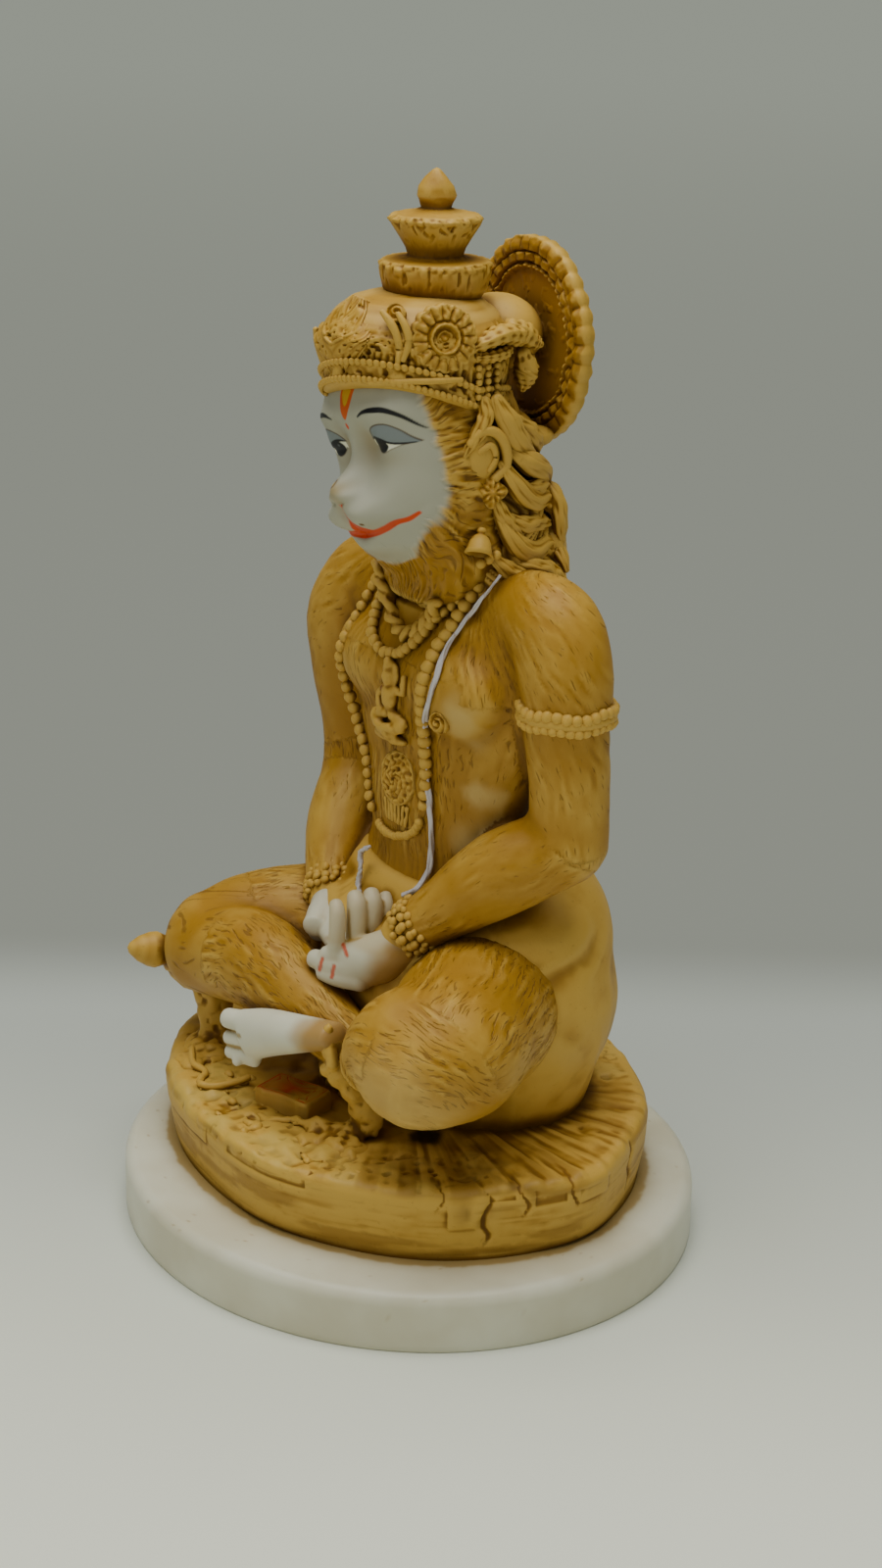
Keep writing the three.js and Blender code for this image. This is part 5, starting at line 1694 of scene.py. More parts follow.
def jewels_form():
    """Necklaces, pendant, the small relief on the breast, the left arm's band and the bracelets."""
    chest = [FORMS["body_and_arms"]]
    parts = []
    mala = laid_on(LONG_MALA, chest, 0.35)
    parts += bead_string(mala[:28], (1.1, 1.25, 1.25, 1.0), 25, around=14)
    parts += bead_string(mala[28:37], (0.95, 0.9, 0.95), 16, around=12)
    parts += bead_string(mala[37:], (1.1, 1.45, 1.5, 1.3), 22, around=16)
    string = laid_on(SHORT_STRING, chest, 0.6)
    parts += bead_string(string, 1.15, 24, around=14)
    parts.append(rope(laid_on(NECK_ROPE, chest + [FORMS["head"]], 0.5), 1.3, 9))
    y = front_of(chest, 0.4, 65)

    def stipple(r, a):
        """Small dots in whorls inside a low rim."""
        spot = xyz(r * np.cos(a), r * np.sin(a), 0 * r)
        whorls = 0.2 * np.cos(4.6 * r + 5 * a) + 0.3 * noise(spot / 0.62, 81)
        return 1.5 - 0.9 * (r / 5.4) ** 2 + whorls * ramp(r, 5.2, 4.4)

    parts.append(
        disc((1.4, y + 0.5, 64.6), (0.05, -1, 0.1), 5.2, 1.6, stipple, flat=(1, 1.02), around=120, rows=56)
    )
    for i in range(7):
        x = -2.2 + 1.2 * i
        lay = laid_on([[x, y, 59.6], [x * 0.9 + 0.2, y, 57.4], [x * 0.8 + 0.3, y, 55.2]], chest, 0.1)
        parts.append(limb([[*p, 0.45] for p in lay[::12]], around=10, step=0.5))
    y = front_of(chest, 0, 80) + 0.3
    small = [
        egg((-0.6, y - 0.6, 84.8), (2.6, 1.0, 2.6), 0.6),
        egg((-0.5, y - 1.3, 84.2), (1.3, 1.3, 1.7), 0.5),
        egg((-0.6, y - 0.9, 80.2), (2, 1.3, 2.9), 0.6),
        egg((-0.6, y - 1.4, 86.8), (1.0, 1.0, 1.3), 0.5),
        limb(
            [[1.2, y - 0.6, 81.8, 0.8], [3.8, y - 0.7, 82.2, 0.8], [4.4, y - 1.0, 85.2, 0.7]], around=12,
            step=0.4,
        ),
        limb(
            [[-2.6, y - 0.6, 81.8, 0.8], [-4.4, y - 0.7, 79.6, 0.8], [-3, y - 1.6, 77.6, 0.7]], around=12,
            step=0.4,
        ),
        limb(
            [
                [0.4, y - 0.6, 77, 1.2], [4.2, y - 0.9, 75.6, 1.1], [-0.2, y - 2, 74.4, 1.0],
                [-3, y - 1.8, 74.4, 0.7],
            ],
            around=14, step=0.4,
        ),
        limb(
            [
                [-1.6, y - 0.6, 77, 1.2], [-5.4, y - 0.9, 75.6, 1.1], [-0.8, y - 1.8, 73.6, 1.0],
                [2.2, y - 1.6, 73.6, 0.7],
            ],
            around=14, step=0.4,
        ),
        egg((-0.6, y - 0.4, 72.4), (5.4, 1.6, 1.1), 0.6),
    ]
    parts.append(melted(small, [0.6] * len(small), 0.3))

    def spiral(r, a):
        """A groove that winds round a low boss."""
        return 0.9 + 0.4 * np.cos(2 * np.pi * r / 1.1 + a) - 0.3 * r / 2

    parts.append(
        disc(
            (15.4, front_of(chest, 15.4, 79.6) + 0.3, 79.6), (0.3, -1, 0.1), 2.1, 1, spiral, around=60,
            rows=30,
        )
    )
    around = circle(48)
    middle, radius = (33.4, 11.2, 84.0), 8.35
    for level, size, count in ((1.3, 1.15, 30), (-1.1, 1.0, 34)):
        ring = xyz(
            middle[0] + radius * np.cos(around), middle[1] + radius * np.sin(around),
            middle[2] + level + 0.25 * np.sin(5 * around),
        )
        parts += bead_string(ring, size, count, around=12, closed=True)
    ring = xyz(middle[0] + 8 * np.cos(around), middle[1] + 8 * np.sin(around), middle[2] + 0.1 + 0 * around)
    parts.append(tube_loop(ring, 1.2))
    for middle, way in BRACELETS:
        way, aside, upright = square_to(way)
        around = circle(40)[:, None]
        for shift, size, radius in ((-1.9, 0.75, 5.3), (-0.6, 0.9, 5.4), (0.8, 0.9, 5.3), (2, 0.75, 5.1)):
            wobble = shift + 0.35 * np.sin(7 * around + 3 * shift)
            ring = (
                np.asarray(middle) + way * wobble
                + radius * (aside * np.cos(around) + upright * np.sin(around))
            )
            parts += bead_string(ring, size, int(33 / size / 2.1), around=10, closed=True)
    form = joined(parts)
    form = form.raised(0.18 * noise(form.points / 1.1, 82))
    dot = lengths(form.points - (-3.0, y - 1.6, 81.6))
    form.paint(np.array(colours().vermilion) * 0.25, 0.9 * (1 - ramp(dot, 0.6, 1.1)))
    return form


def tube_loop(path, radius, section=12):
    """A round tube along a closed path."""
    _, aside, upright = square_to(np.roll(path, -1, axis=0) - np.roll(path, 1, axis=0))
    roll = circle(section)[None, :, None]
    return ringed(
        path[:, None] + radius * (aside[:, None] * np.cos(roll) + upright[:, None] * np.sin(roll))
    )


def cord_form():
    """The painted cord from the left shoulder down to the lap, and its loose end by the right hand."""
    skins = [FORMS["body_and_arms"], FORMS["waist_cloth"]]
    free = through(CORD, np.linspace(0, 1, 60))
    path = laid_on(CORD, skins, 0.5)
    above = ramp(path[:, 2], 93, 98)
    path[:, 1] = (1 - above) * path[:, 1] + above * (free[:, 1] - 0.8)

    def fray(s, a):
        """Uneven strands that wind along the cord."""
        return 0.12 * np.cos(3 * a + 60 * s) + 0.1 * np.cos(2 * a - 35 * s)

    rows = [[*p, 0.2 + 0.32 * min(1, i / 7), 0.2 + 0.26 * min(1, i / 7)] for i, p in enumerate(path[::3])]
    main = limb(rows, around=20, step=0.35, up=(0, -1, 0.2), swell=fray)
    loose = limb(
        [
            [-3.8, -7, 49.6, 0.3], [-6.0, -7.6, 47.8, 0.5], [-5.4, -8, 44.6, 0.42], [-5.6, -8.4, 41.6, 0.5],
            [-4.2, -8.8, 39.8, 0.25],
        ],
        around=16, step=0.35, swell=fray,
    )
    return joined([main, loose])


def mace_form():
    """The mace: a pointed knob, a ribbed head between collars, a shaft and an end knob."""
    profile = [
        [0, 0], [1.2, 0.7], [2.6, 2.6], [3.5, 4.8], [3.7, 6.2], [3.2, 7.6], [2.8, 8.6], [4.2, 9.4],
        [4.4, 10.2], [5.6, 11], [7.6, 14], [8.2, 17.6], [7.9, 21], [6.4, 24.6], [4.4, 26.8], [4.4, 27.8],
        [3.2, 28.6], [2.4, 31], [2.1, 50], [2.2, 69], [3, 70.4], [3.2, 72.6], [2, 74.4], [0, 75],
    ]

    def ribs(a, r, h):
        """Twelve ribs on the head that fade towards its ends."""
        return 0.35 * np.abs(np.cos(6 * a)) * peak(h, 17.6, 6) - 0.2 * peak(h, 17.6, 5)

    return turned(profile, 96, (-47.2, -37.4, 19.4), (8.2, 70.9, -17.4), count=120, rim=ribs)


def tail_form():
    """The tail along the rock behind, with a tuft at its tip."""
    rows = [
        [0, 34, 6, 3.6], [-5, 38.4, 2.6, 3.2], [-18, 37.4, 1.6, 3], [-31, 31, 1.4, 2.7],
        [-37, 24, 1.4, 2.2],
    ]
    form = limb(
        rows, around=60, step=0.5, swell=lambda s, a: 0.25 * np.cos(9 * a + 4 * s) * ramp(s, 0.8, 1),
    )
    return furred(form)


def brick_form():
    """The small brick: a box with rounded edges from a high-power oval, its top with shallow strokes."""
    tilt = np.linspace(0, np.pi, 110)[1:-1, None]
    turn = np.linspace(0, 2 * np.pi, 300, endpoint=False)[None]
    power = 0.16

    def squared(v):
        """A cosine or sine pushed towards 1 and -1, which squares the oval."""
        return np.sign(v) * np.abs(v) ** power

    across = squared(np.sin(tilt))
    ball = xyz(across * squared(np.cos(turn)), across * squared(np.sin(turn)), squared(np.cos(tilt)))
    form = wrapped(ball * (6.6, 4.1, 3.1))
    p = form.points.copy()
    top = ramp(p[:, 2], 2.5, 2.9)
    lean = p[:, 0] + 0.7 * p[:, 1]
    rows = np.abs(np.sin(lean * 1.75 + 0.5 * noise(p / 2.0, 91)))
    gaps = ramp(noise(xyz(lean * 0.4, p[:, 1] * 0.5, 0 * lean), 93), -0.55, -0.1)
    stroke = (
        ramp(rows, 0.42, 0.12) * gaps * top * ramp(3.3 - np.abs(p[:, 1]), 0, 0.4)
        * ramp(5.6 - np.abs(p[:, 0]), 0, 0.5)
    )
    line = ramp(np.abs(np.maximum(np.abs(p[:, 0]) / 5.9, np.abs(p[:, 1]) / 3.5) - 1), 0.06, 0.02) * top
    worn = ramp(noise(p / 2.4, 94) + 0.12 * p[:, 0], 0.75, 0.3)
    mark = np.maximum(stroke, line) * worn
    wash = 0.35 * top * worn * ramp(p[:, 0], 3, -2)
    form.paint((0.6, 0.36, 0.07), 0.75 * ramp(noise(p / 3.0, 92), -0.9, 0.2))
    form.paint(np.array(colours().vermilion) * (1, 2.6, 6), wash)
    form.paint(colours().vermilion, 0.9 * mark)
    c, s = math.cos(0.37), math.sin(0.37)
    turned_way = np.array([[c, s, 0], [-s, c, 0], [0, 0, 1]])
    form.points = (p + 0.14 * noise(p / 1.3, 95)[:, None]) @ turned_way + np.array([-2.5, -24.7, 0.5])
    return form.raised(-0.12 * mark)


def rock_top_form():
    """The pillar under the mace, low stones, the mound under the legs and crumbs, melted together."""
    parts = [
        limb(
            [
                [-35.6, -22.2, -3, 4.6], [-37.2, -22.6, 4, 3.8], [-38.6, -22.4, 10, 4.2],
                [-39.4, -21.6, 16, 4.6],
            ],
            up=(0, 1, 0),
        ),
        egg((-33, -26, -1), (7, 5, 3.2)),
        egg((15, -25, -1.6), (8, 5, 3.2)),
        egg((0, -4, 0), (22, 11, 9)),
        limb(
            [[1.6, -31.6, 0.4, 0.8], [8, -27.4, 1.2, 1.3], [15, -22.4, 1.4, 1.2], [18, -19, 1, 0.8]],
            around=30,
        ),
        egg((-30, -33, -0.6), (4, 2.6, 1.8)),
    ]
    draw = np.random.default_rng(5)
    for _ in range(60):
        x, y = draw.uniform(-30, 28), draw.uniform(-40, -24)
        if ((x + 4) / 51) ** 2 + ((y - 2) / 42) ** 2 > 0.95:
            continue
        r = draw.uniform(0.4, 1.1)
        parts.append(egg((x, y, -0.2), (r * 1.4, r, r * 0.8), 0.5))
    column = np.array(
        [[14, -27, 23.4], [14.6, -26.8, 20], [15.4, -26.2, 16], [15.8, -23.4, 11], [16, -19, 4]]
    )
    parts.append(limb([[*place, r] for place, r in zip(column, (0.5, 0.7, 0.8, 1.4, 3.2))], around=24))
    for place in through(column, np.sort(draw.uniform(0, 1, 46))):
        r = draw.uniform(0.45, 1.05)
        parts.append(egg(place + draw.uniform(-1.5, 1.5, 3), (r, 0.8 * r, 1.2 * r), 0.4))
    form = melted(parts, [1] + [1.4] * (len(parts) - 1), 0.5)
    p = form.points
    low = ramp(p[:, 2], 8, 2)
    form.raised(0.5 * noise(p / 3.0, 51) + (0.3 + 0.2 * low) * noise(p / 1.3, 52))
    # Painted shadow: near-black paint on the mound in the gap under the left knee.
    gap = lengths((p - KNEE_GAP) * (1, 1, 0.5)) + 0.8 * noise(p / 2.0, 49)
    dark = 0.95 * (1 - ramp(gap, 2.6, 5.4))
    form.paint(np.array(colours().umber) * 0.12, dark)
    return form


def string_form():
    """A thin winding cord lying on the rock."""
    rows = [
        [-31, -31.6, 2, 0.6], [-26.4, -33.6, 1.1, 0.7], [-22.4, -33.2, 0.7, 0.7], [-20.4, -35.4, 0.6, 0.7],
        [-18, -36.4, 0.7, 0.7], [-15.8, -34.4, 0.8, 0.7], [-14.8, -31, 1.1, 0.7], [-14.4, -28, 1.6, 0.6],
    ]
    form = limb(rows, around=16, step=0.45)
    return form.raised(0.2 * noise(form.points / 1.2, 53))


# Materials

def colour_value(value):
    """A colour of three as the four that a socket holds; other values as they are."""
    return (*value, 1) if hasattr(value, "__len__") and len(value) == 3 else value


class Nodes:
    """A cleared node tree, with short calls that add its nodes and return their results."""

    def __init__(self, tree):
        self.tree = tree
        tree.nodes.clear()

    def set(self, socket, value):
        """Links a socket to another, or gives it a value."""
        if isinstance(value, bpy.types.NodeSocket):
            self.tree.links.new(value, socket)
        else:
            socket.default_value = value

    def add(self, kind, inputs=None, **settings):
        """A node with its settings and inputs."""
        node = self.tree.nodes.new(kind)
        for key, value in settings.items():
            setattr(node, key, value)
        for key, value in (inputs or {}).items():
            self.set(node.inputs[key], value)
        return node

    def math(self, operation, a, b, clamp=False):
        """The result of an operation on two values."""
        return self.add("ShaderNodeMath", {0: a, 1: b}, operation=operation, use_clamp=clamp).outputs[0]

    def plus(self, a, b, clamp=False):
        """The sum of two values."""
        return self.math("ADD", a, b, clamp)

    def less(self, a, b):
        """The first value without the second."""
        return self.math("SUBTRACT", a, b)

    def times(self, a, b, clamp=False):
        """The product of two values."""
        return self.math("MULTIPLY", a, b, clamp)

    def step(self, value, low, high, to_low=0.0, to_high=1.0):
        """A smooth step of a value."""
        inputs = {"Value": value, "From Min": low, "From Max": high, "To Min": to_low, "To Max": to_high}
        return self.add("ShaderNodeMapRange", inputs, interpolation_type="SMOOTHSTEP").outputs["Result"]

    def mix(self, share, first, second):
        """The second colour over the first by a share."""
        inputs = {0: share, 6: colour_value(first), 7: colour_value(second)}
        return self.add("ShaderNodeMix", inputs, data_type="RGBA").outputs[2]

    def noise(self, vector, scale, detail=2.0, roughness=0.5):
        """A noise's value over a vector."""
        inputs = {"Vector": vector, "Scale": scale, "Detail": detail, "Roughness": roughness}
        return self.add("ShaderNodeTexNoise", inputs).outputs[0]

    def place(self):
        """The place on the piece, in metres."""
        return self.add("ShaderNodeTexCoord").outputs["Object"]

    def carried(self, name):
        """A value that the points carry."""
        return self.add("ShaderNodeAttribute", attribute_name=name).outputs

    def group(self, name, inputs):
        """A shader group with its inputs set from values, colours or sockets."""
        inputs = {key: colour_value(value) for key, value in inputs.items()}
        return self.add("ShaderNodeGroup", inputs, node_tree=bpy.data.node_groups[name]).outputs

    def finish(self, **inputs):
        """The material's shader and output, from inputs named as on the shader with _ for a blank."""
        inputs = {key.replace("_", " "): value for key, value in inputs.items()}
        shader = self.add("ShaderNodeBsdfPrincipled", inputs)
        self.add("ShaderNodeOutputMaterial", {"Surface": shader.outputs[0]})


def material_nodes(name):
    """A new material and its nodes."""
    material = bpy.data.materials.new(name)
    material.use_nodes = True
    return material, Nodes(material.node_tree)


def group_nodes(name, colours_in, vectors_in, values_in, out):
    """A new shader group: its nodes, the sockets that it is given and the ones that it fills. values_in maps
    names to defaults; out maps names to kinds.
    """
    tree = bpy.data.node_groups.new(name, "ShaderNodeTree")
    nodes = Nodes(tree)
    kinds = {**dict.fromkeys(colours_in, "Color"), **dict.fromkeys(vectors_in, "Vector")}
    for key, kind in {**kinds, **dict.fromkeys(values_in, "Float")}.items():
        socket = tree.interface.new_socket(key, in_out="INPUT", socket_type=f"NodeSocket{kind}")
        if key in values_in:
            socket.default_value = values_in[key]
    for key, kind in out.items():
        tree.interface.new_socket(key, in_out="OUTPUT", socket_type=f"NodeSocket{kind}")
    return nodes, nodes.add("NodeGroupInput").outputs, nodes.add("NodeGroupOutput").inputs


def fur_group():
    """Shader group: fur strokes from fur coordinates in millimetres. Noise is stretched along the fur, its
    across direction bent by slow noise, and cut to short narrow dark strokes; less cover lets fewer show.
    """
    values = {"Cover": 1.0, "Length": 3.0, "Width": 0.7}
    n, given, end = group_nodes("Fur strokes", [], ["Fur"], values, {"Stroke": "Float", "Height": "Float"})
    parts = n.add("ShaderNodeSeparateXYZ", {0: given["Fur"]}).outputs
    bend = n.times(n.less(n.noise(given["Fur"], 0.12, 1.0), 0.5), 5.0)
    across = n.math("DIVIDE", n.plus(parts[1], bend), given["Width"])
    along = n.math("DIVIDE", parts[0], given["Length"])
    line = n.add("ShaderNodeCombineXYZ", {0: along, 1: across, 2: parts[2]}).outputs[0]
    fewer = n.times(n.less(1.0, given["Cover"]), 0.17)
    shown = n.step(n.less(n.noise(line, 1.0, 1.0), fewer), 0.54, 0.67)
    n.set(end["Stroke"], shown)
    n.set(end["Height"], n.less(1.0, shown))


def wash_and_shade_group():
    """Shader group: the ochre and umber wash. Raised places show cream, hollows and strokes take umber, and
    the deep places take umber too, partly as real wash and partly as painted shade; slow noise moves the
    balance over the surface.
    """
    values = {"Fine": 0.0, "Broad": 0.0, "Deep": 0.0, "Stroke": 0.0, "Wear": 0.5}
    tones = ["Ochre", "Cream", "Umber"]
    n, given, end = group_nodes("Umber wash", tones, ["Place"], values, {"Color": "Color", "Dark": "Float"})
    patches = n.noise(given["Place"], 55.0, 3.0, 0.55)
    speck = n.noise(given["Place"], 900.0, 2.0, 0.6)
    proud = n.plus(n.times(given["Broad"], -0.5), n.times(given["Fine"], -0.35))
    proud = n.less(proud, n.times(given["Deep"], 0.5))
    worn = n.step(n.plus(n.plus(patches, proud), given["Wear"]), 0.8, 1.45)
    gather = n.plus(n.times(given["Fine"], 0.8, clamp=True), n.times(given["Broad"], 0.35, clamp=True))
    # Deep places darken towards umber: real wash in the hollows and painted shade.
    gather = n.plus(gather, n.times(given["Deep"], 0.85))
    gather = n.plus(gather, n.times(given["Stroke"], 0.6))
    gather = n.plus(gather, n.step(speck, 0.62, 0.8, 0.0, 0.25), clamp=True)
    dark = n.times(gather, 0.93)
    n.set(end["Color"], n.mix(dark, n.mix(worn, given["Ochre"], given["Cream"]), given["Umber"]))
    n.set(end["Dark"], dark)


def marble_group():
    """Shader group: bare marble dust, pale with faint clouds, a little wash left in its hollows, and brown
    in the deep places, partly as painted shade.
    """
    tones = ["Marble", "Cloud", "Stain"]
    n, given, end = group_nodes(
        "Bare marble", tones, ["Place"], {"Fine": 0.0, "Deep": 0.0}, {"Color": "Color"},
    )
    clouds = n.noise(given["Place"], 60.0, 3.0)
    pale = n.mix(n.step(clouds, 0.3, 0.75, 0.0, 0.6), given["Marble"], given["Cloud"])
    # Deep places turn brown: partly wash left there, partly painted shade.
    gather = n.plus(n.times(given["Fine"], 0.6, clamp=True), n.times(given["Deep"], 0.32), clamp=True)
    n.set(end["Color"], n.mix(gather, pale, given["Stain"]))


def casting(name, wear=0.5, fur=None, bare=None, rough=0.5, grain=0.35, under=0.0):
    """Cast marble dust: washed, bare, or bare where the points' skin value says. fur is (length, width) of
    its strokes in millimetres, the points' paint lies over all of it, and under is its subsurface weight.
    """
    material, n = material_nodes(name)
    place = n.place()
    carried = {key: n.carried(key.lower())["Fac"] for key in ("Fine", "Broad", "Deep")}
    shades = {key: getattr(colours(), key.lower()) for key in ("Ochre", "Cream", "Umber")}
    height = n.times(n.noise(place, 1500.0, 3.0, 0.65), grain)
    stroke = 0.0
    if fur:
        hair = {"Fur": n.carried("fur")["Vector"], "Cover": n.carried("cover")["Fac"]}
        strokes = n.group("Fur strokes", {**hair, "Length": fur[0], "Width": fur[1]})
        stroke = strokes["Stroke"]
        height = n.plus(height, strokes["Height"])
    wash = n.group("Umber wash", {**shades, **carried, "Place": place, "Stroke": stroke, "Wear": wear})
    surface = wash["Color"]
    dark = wash["Dark"]
    if bare:
        tones = {key: getattr(colours(), key.lower()) for key in ("Marble", "Cloud", "Stain")}
        hollows = {"Fine": carried["Fine"], "Deep": carried["Deep"]}
        pale = n.group("Bare marble", {**tones, **hollows, "Place": place})
        share = 1.0 if bare == "all" else n.carried("skin")["Fac"]
        surface = n.mix(share, surface, pale["Color"])
        dark = n.times(dark, n.less(1.0, share))
    layer = n.carried("paint")
    relief = n.add("ShaderNodeBump", {"Strength": 0.8, "Distance": 0.00014, "Height": height})
    n.finish(
        Base_Color=n.mix(layer["Alpha"], surface, layer["Color"]),
        Roughness=n.step(dark, 0.0, 1.0, rough, rough + 0.2),
        Normal=relief.outputs[0],
        Specular_IOR_Level=0.3,
        Subsurface_Weight=under,
        Subsurface_Radius=(0.0022, 0.0018, 0.0012),
        Subsurface_Scale=1.0,
    )
    return material


def silver_paint():
    """Thin silver-white paint that leaves some ochre showing through."""
    _, n = material_nodes("silver paint")
    place = n.place()
    worn = n.step(n.noise(place, 700.0, 3.0, 0.6), 0.58, 0.74, 0.0, 0.5)
    relief = n.add(
        "ShaderNodeBump", {"Strength": 0.5, "Distance": 0.0001, "Height": n.noise(place, 1100.0)},
    )
    surface = n.mix(worn, colours().silver, colours().ochre)
    n.finish(Base_Color=surface, Roughness=0.42, Metallic=0.15, Normal=relief.outputs[0])


class STATUE_OT_finishes(bpy.types.Operator):
    """Builds the shared shader groups and the finishes"""

    bl_idname = "statue.finishes"
    bl_label = "Finishes"

    def execute(self, context):
        fur_group()
        wash_and_shade_group()
        marble_group()
        silver_paint()
        casting("washed fur", wear=0.36, fur=(2.5, 0.45))
        casting("washed carving", wear=0.56)
        casting("washed halo", wear=0.12)
        casting("washed cloth", wear=0.72)
        casting("washed rock", wear=0.75, grain=0.6)
        casting("head", wear=0.34, fur=(3.0, 0.45), bare="skin", rough=0.42, grain=0.1, under=0.1)
        casting("bare marble", bare="all", rough=0.4, grain=0.1, under=0.12)
        casting("plinth marble", bare="all", rough=0.34, grain=0.08, under=0.1)
        return {"FINISHED"}


class STATUE_OT_body(bpy.types.Operator):
    """Chest, belly and arms with carved fur"""

    bl_idname = "statue.body"
    bl_label = "Body and arms"

    def execute(self, context):
        publish("body_and_arms", body_form(), "washed fur", share=0.56)
        return {"FINISHED"}


class STATUE_OT_legs(bpy.types.Operator):
    """Crossed legs and the waist cloth"""

    bl_idname = "statue.legs"
    bl_label = "Legs and cloth"

    def execute(self, context):
        publish("crossed_legs", legs_form(), "washed fur", share=0.6)
        publish("waist_cloth", cloth_form(), "washed cloth", share=0.35)
        return {"FINISHED"}


class STATUE_OT_hands(bpy.types.Operator):
    """Bare marble hands and left foot"""

    bl_idname = "statue.hands"
    bl_label = "Hands and foot"

    def execute(self, context):
        publish("hands", hands_form(), "bare marble")
        publish("left_foot", foot_form(), "bare marble")
        return {"FINISHED"}


class STATUE_OT_head(bpy.types.Operator):
    """Face and beard"""

    bl_idname = "statue.head"
    bl_label = "Head"

    def execute(self, context):
        publish("head", head_form(), "head")
        return {"FINISHED"}


class STATUE_OT_hair(bpy.types.Operator):
    """Hair, ears and earrings"""

    bl_idname = "statue.hair"
    bl_label = "Hair and ears"

    def execute(self, context):
        publish("hair", hair_form(), "washed carving", share=0.4)
        publish("ears_and_earrings", ears_form(), "washed carving", share=0.5)
        return {"FINISHED"}


class STATUE_OT_crown(bpy.types.Operator):
    """The crown and the halo plate behind it"""

    bl_idname = "statue.crown"
    bl_label = "Crown and halo"

    def execute(self, context):
        publish("crown", crown_form(), "washed carving", share=0.27)
        publish("halo_plate", halo_form(), "washed halo", share=0.28)
        return {"FINISHED"}


class STATUE_OT_jewels(bpy.types.Operator):
    """Necklaces, bands and the painted cord"""

    bl_idname = "statue.jewels"
    bl_label = "Jewels and cord"

    def execute(self, context):
        publish("jewels", jewels_form(), "washed carving", share=0.45)
        publish("painted_cord", cord_form(), "silver paint")
        return {"FINISHED"}


class STATUE_OT_loose(bpy.types.Operator):
    """Mace, tail, brick, stones and the string on the rock"""

    bl_idname = "statue.loose"
    bl_label = "Mace, tail and stones"

    def execute(self, context):
        publish("mace", mace_form(), "washed carving", share=0.6)
        publish("tail", tail_form(), "washed fur", share=0.6)
        publish("brick", brick_form(), "washed carving", share=0.3)
        publish("stones", rock_top_form(), "washed rock", share=0.5)
        publish("string_on_rock", string_form(), "washed carving")
        return {"FINISHED"}


class STATUE_OT_base(bpy.types.Operator):
    """The rock and the plinth under it"""

    bl_idname = "statue.base"
    bl_label = "Rock and plinth"

    def execute(self, context):
        publish("rock", rock_form(), "washed rock", share=0.62)
        publish("oval_plinth_skin", plinth_form(), "plinth marble", "oval_plinth")
        return {"FINISHED"}


class STATUE_OT_wash_and_shade(bpy.types.Operator):
    """How much of the space out from each point is filled, kept as each piece's deep value. The finishes
    darken there towards umber: partly the real wash that gathers in hollows, partly painted shade where the
    pieces shut out the light.
    """

    bl_idname = "statue.wash"
    bl_label = "Gather the wash"

    def execute(self, context):
        voxel = 1.0
        points = np.vstack([form.points for form in FORMS.values()])
        starts = np.cumsum([0] + [len(form.points) for form in FORMS.values()])
        tris = np.vstack([form.triangles() + start for form, start in zip(FORMS.values(), starts)])
        reach = 9
        grid = openvdb.FloatGrid.createLevelSetFromPolygons(
            points.astype(np.float32),
            triangles=tris.astype(np.uint32),
            transform=openvdb.createLinearTransform(voxelSize=voxel),
            halfWidth=float(reach),
        )
        low = np.floor(points.min(axis=0)).astype(int) - reach - 2
        size = np.ceil(points.max(axis=0)).astype(int) + reach + 3 - low
        space = np.empty(size, np.float32)
        grid.copyToArray(space, ijk=tuple(int(v) for v in low))
        for name, form in FORMS.items():
            normal = form.normals()
            total = np.zeros(len(form.points))
            for out in (1.5, 3.0, 5.0, 8.0):
                at = (form.points + normal * out) / voxel - low
                total += np.clip(out - sampled(space, at), 0, 2 * out) / out
            # Painted shade and wash together: the filled share darkens the finishes towards umber.
            deep = ramp(total / 4, 0.38, 1.15)
            form.values["deep"] = deep
            mesh = bpy.data.objects[name].data
            layer = mesh.attributes.new("deep", "FLOAT", "POINT")
            layer.data.foreach_set("value", deep.astype(np.float32))
        return {"FINISHED"}


def sampled(space, at):
    """Values of a box of voxels at places between them, blended from the eight voxels round each."""
    cell = np.clip(np.floor(at).astype(int), 0, np.array(space.shape) - 2)
    f = np.clip(at - cell, 0, 1)
    total = np.zeros(len(at))
    for corner in range(8):
        step = np.array([corner & 1, corner >> 1 & 1, corner >> 2 & 1])
        i, j, k = (cell + step).T
        total += np.prod(np.where(step == 1, f, 1 - f), axis=1) * space[i, j, k]
    return total


class STATUE_OT_stage(bpy.types.Operator):
    """Camera, soft lights and the pale floor"""

    bl_idname = "statue.stage"
    bl_label = "Stage"

    def execute(self, context):
        data = bpy.data.cameras.new("camera")
        data.lens = 60.66
        data.sensor_width = 36
        data.clip_start = 0.01
        right = (0.54882, 0.83574, 0.01813)
        upward = (-0.28871, 0.16915, 0.94236)
        forward = np.array([-0.78450, 0.52242, -0.33412])
        context.scene.camera = placed("camera", data, right, upward, -forward, (0.39694, -0.25777, 0.25609))
        floor()
        lamp("key light", (0.2, -0.8, 0.5), 0.75, 1.2, (1.0, 0.99, 0.95))
        lamp("fill light", (0.8, 0.15, 0.45), 0.7, 0.55, (0.97, 0.99, 1.0))
        lamp("top light", (-0.02, -0.05, 0.95), 0.8, 9.6, (1.0, 1.0, 0.95))
        world = bpy.data.worlds.new("studio")
        world.use_nodes = True
        background = world.node_tree.nodes["Background"].inputs
        background["Color"].default_value = (0.64, 0.66, 0.62, 1)
        background["Strength"].default_value = 0.15
        context.scene.world = world
        return {"FINISHED"}


def placed(name, data, right, upward, back, place):
    """A camera or lamp at a place, turned by its three axes."""
    thing = bpy.data.objects.new(name, data)
    rows = [[right[i], upward[i], back[i], place[i]] for i in range(3)]
    thing.matrix_world = Matrix(rows + [[0, 0, 0, 1]])
    bpy.context.scene.collection.objects.link(thing)
    return thing


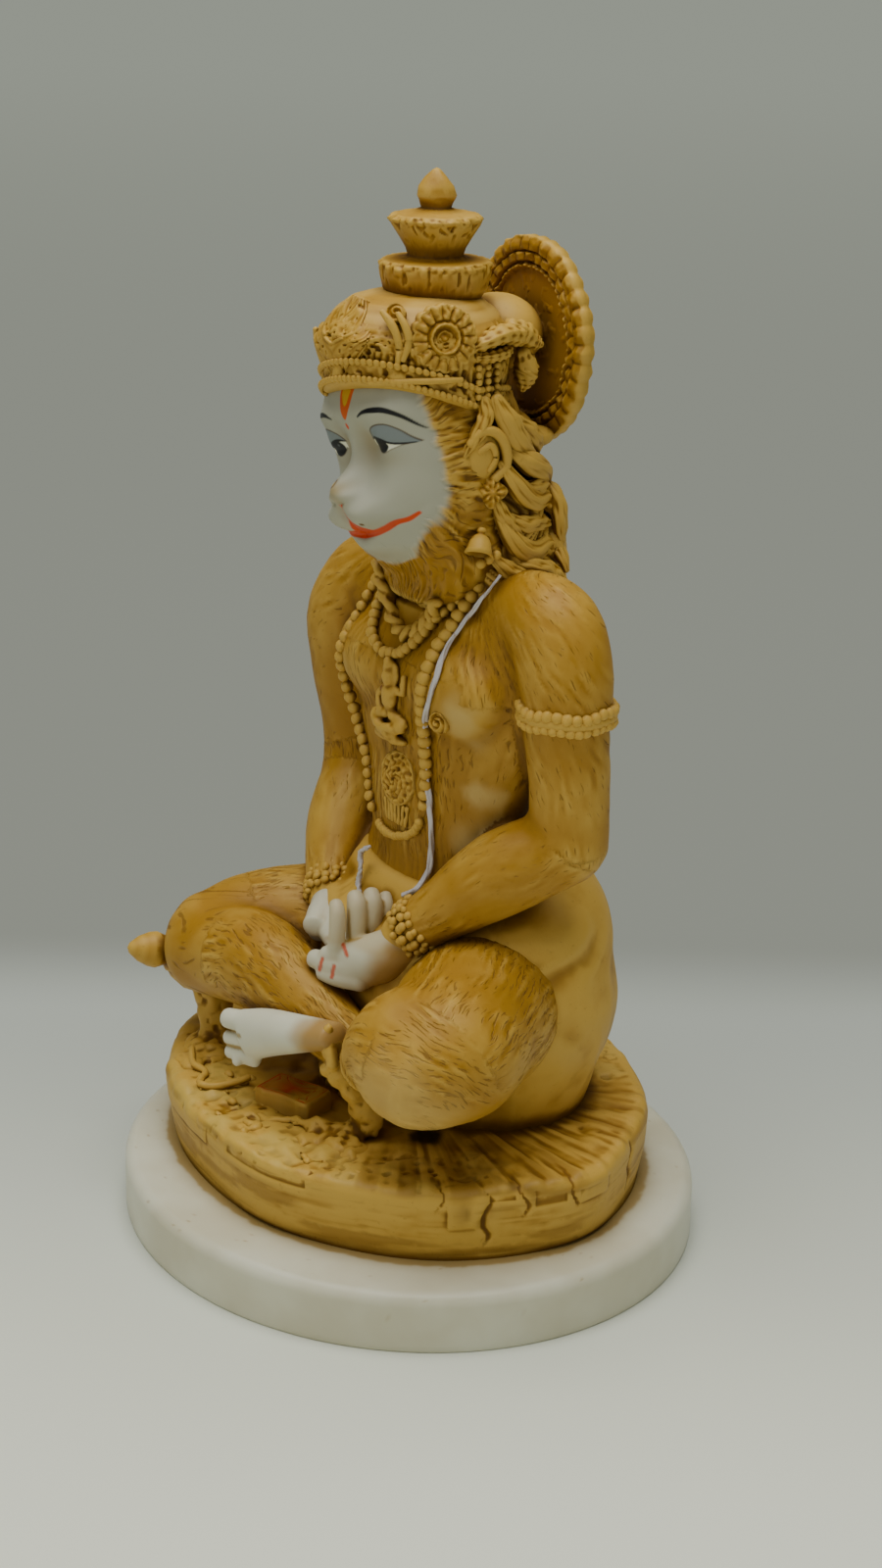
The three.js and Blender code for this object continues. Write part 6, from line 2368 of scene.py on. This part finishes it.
def lamp(name, place, size, power, tint):
    """A square soft light that faces the statue's middle."""
    data = bpy.data.lights.new(name, "AREA")
    data.shape = "SQUARE"
    data.size = size
    data.energy = power
    data.color = tint
    back, side, upward = square_to(np.asarray(place, float) - (0, 0, 0.1))
    placed(name, data, side, upward, back, place)


def floor():
    """A level floor, painted pale under and before the statue and darker towards the back, which is painted
    light. Far behind it is dark and gives off an even grey, so that it looks like a plain wall.
    """
    material, n = material_nodes("floor")
    parts = n.add("ShaderNodeSeparateXYZ", {0: n.place()}).outputs
    run = n.plus(n.times(parts[0], -0.832), n.times(parts[1], 0.554))
    far = n.step(run, 0.085, 0.135)
    # Painted light: the floor is paler before the statue and darker towards the back.
    pale = n.mix(n.step(run, -0.16, 0.1), (0.88, 0.9, 0.76), (0.45, 0.48, 0.44))
    wall = n.mix(n.step(run, 0.2, 3.0), (0.245, 0.258, 0.218), (0.3, 0.325, 0.272))
    n.finish(
        Base_Color=n.mix(far, pale, (0.03, 0.03, 0.03)),
        Roughness=0.8,
        Emission_Color=n.mix(far, (0, 0, 0), wall),
        Emission_Strength=1.0,
        Specular_IOR_Level=0.1,
    )
    mesh = bpy.data.meshes.new("floor")
    reach = 6.0
    corners = [(-reach, -reach, 0), (reach, -reach, 0), (reach, reach, 0), (-reach, reach, 0)]
    mesh.from_pydata(corners, [], [(0, 1, 2, 3)])
    mesh.materials.append(material)
    piece = bpy.data.objects.new("floor", mesh)
    bpy.context.scene.collection.objects.link(piece)


class STATUE_PT_panel(bpy.types.Panel):
    """The statue's pieces, sizes and colours"""

    bl_label = "Statue"
    bl_idname = "STATUE_PT_panel"
    bl_space_type = "VIEW_3D"
    bl_region_type = "UI"
    bl_category = "Statue"

    def draw(self, context):
        for group in (context.scene.statue_sizes, context.scene.statue_colours):
            for key in group.__annotations__:
                self.layout.prop(group, key)
        for operator in OPERATORS:
            self.layout.operator(operator.bl_idname)


OPERATORS = (
    STATUE_OT_finishes,
    STATUE_OT_body,
    STATUE_OT_legs,
    STATUE_OT_hands,
    STATUE_OT_head,
    STATUE_OT_hair,
    STATUE_OT_crown,
    STATUE_OT_jewels,
    STATUE_OT_base,
    STATUE_OT_loose,
    STATUE_OT_wash_and_shade,
    STATUE_OT_stage,
)
CLASSES = (StatueSizes, StatueColours, *OPERATORS, STATUE_PT_panel)


def register():
    """Adds the classes and the scene's settings."""
    for item in CLASSES:
        bpy.utils.register_class(item)
    bpy.types.Scene.statue_sizes = PointerProperty(type=StatueSizes)
    bpy.types.Scene.statue_colours = PointerProperty(type=StatueColours)


def unregister():
    """Takes them away again."""
    del bpy.types.Scene.statue_colours
    del bpy.types.Scene.statue_sizes
    for item in reversed(CLASSES):
        bpy.utils.unregister_class(item)


def main():
    """Builds the statue piece by piece."""
    register()
    bpy.ops.statue.finishes()
    bpy.ops.statue.body()
    bpy.ops.statue.legs()
    bpy.ops.statue.hands()
    bpy.ops.statue.head()
    bpy.ops.statue.hair()
    bpy.ops.statue.crown()
    bpy.ops.statue.jewels()
    bpy.ops.statue.base()
    bpy.ops.statue.loose()
    bpy.ops.statue.wash()
    bpy.ops.statue.stage()
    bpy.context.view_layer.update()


if __name__ == "__main__":
    main()
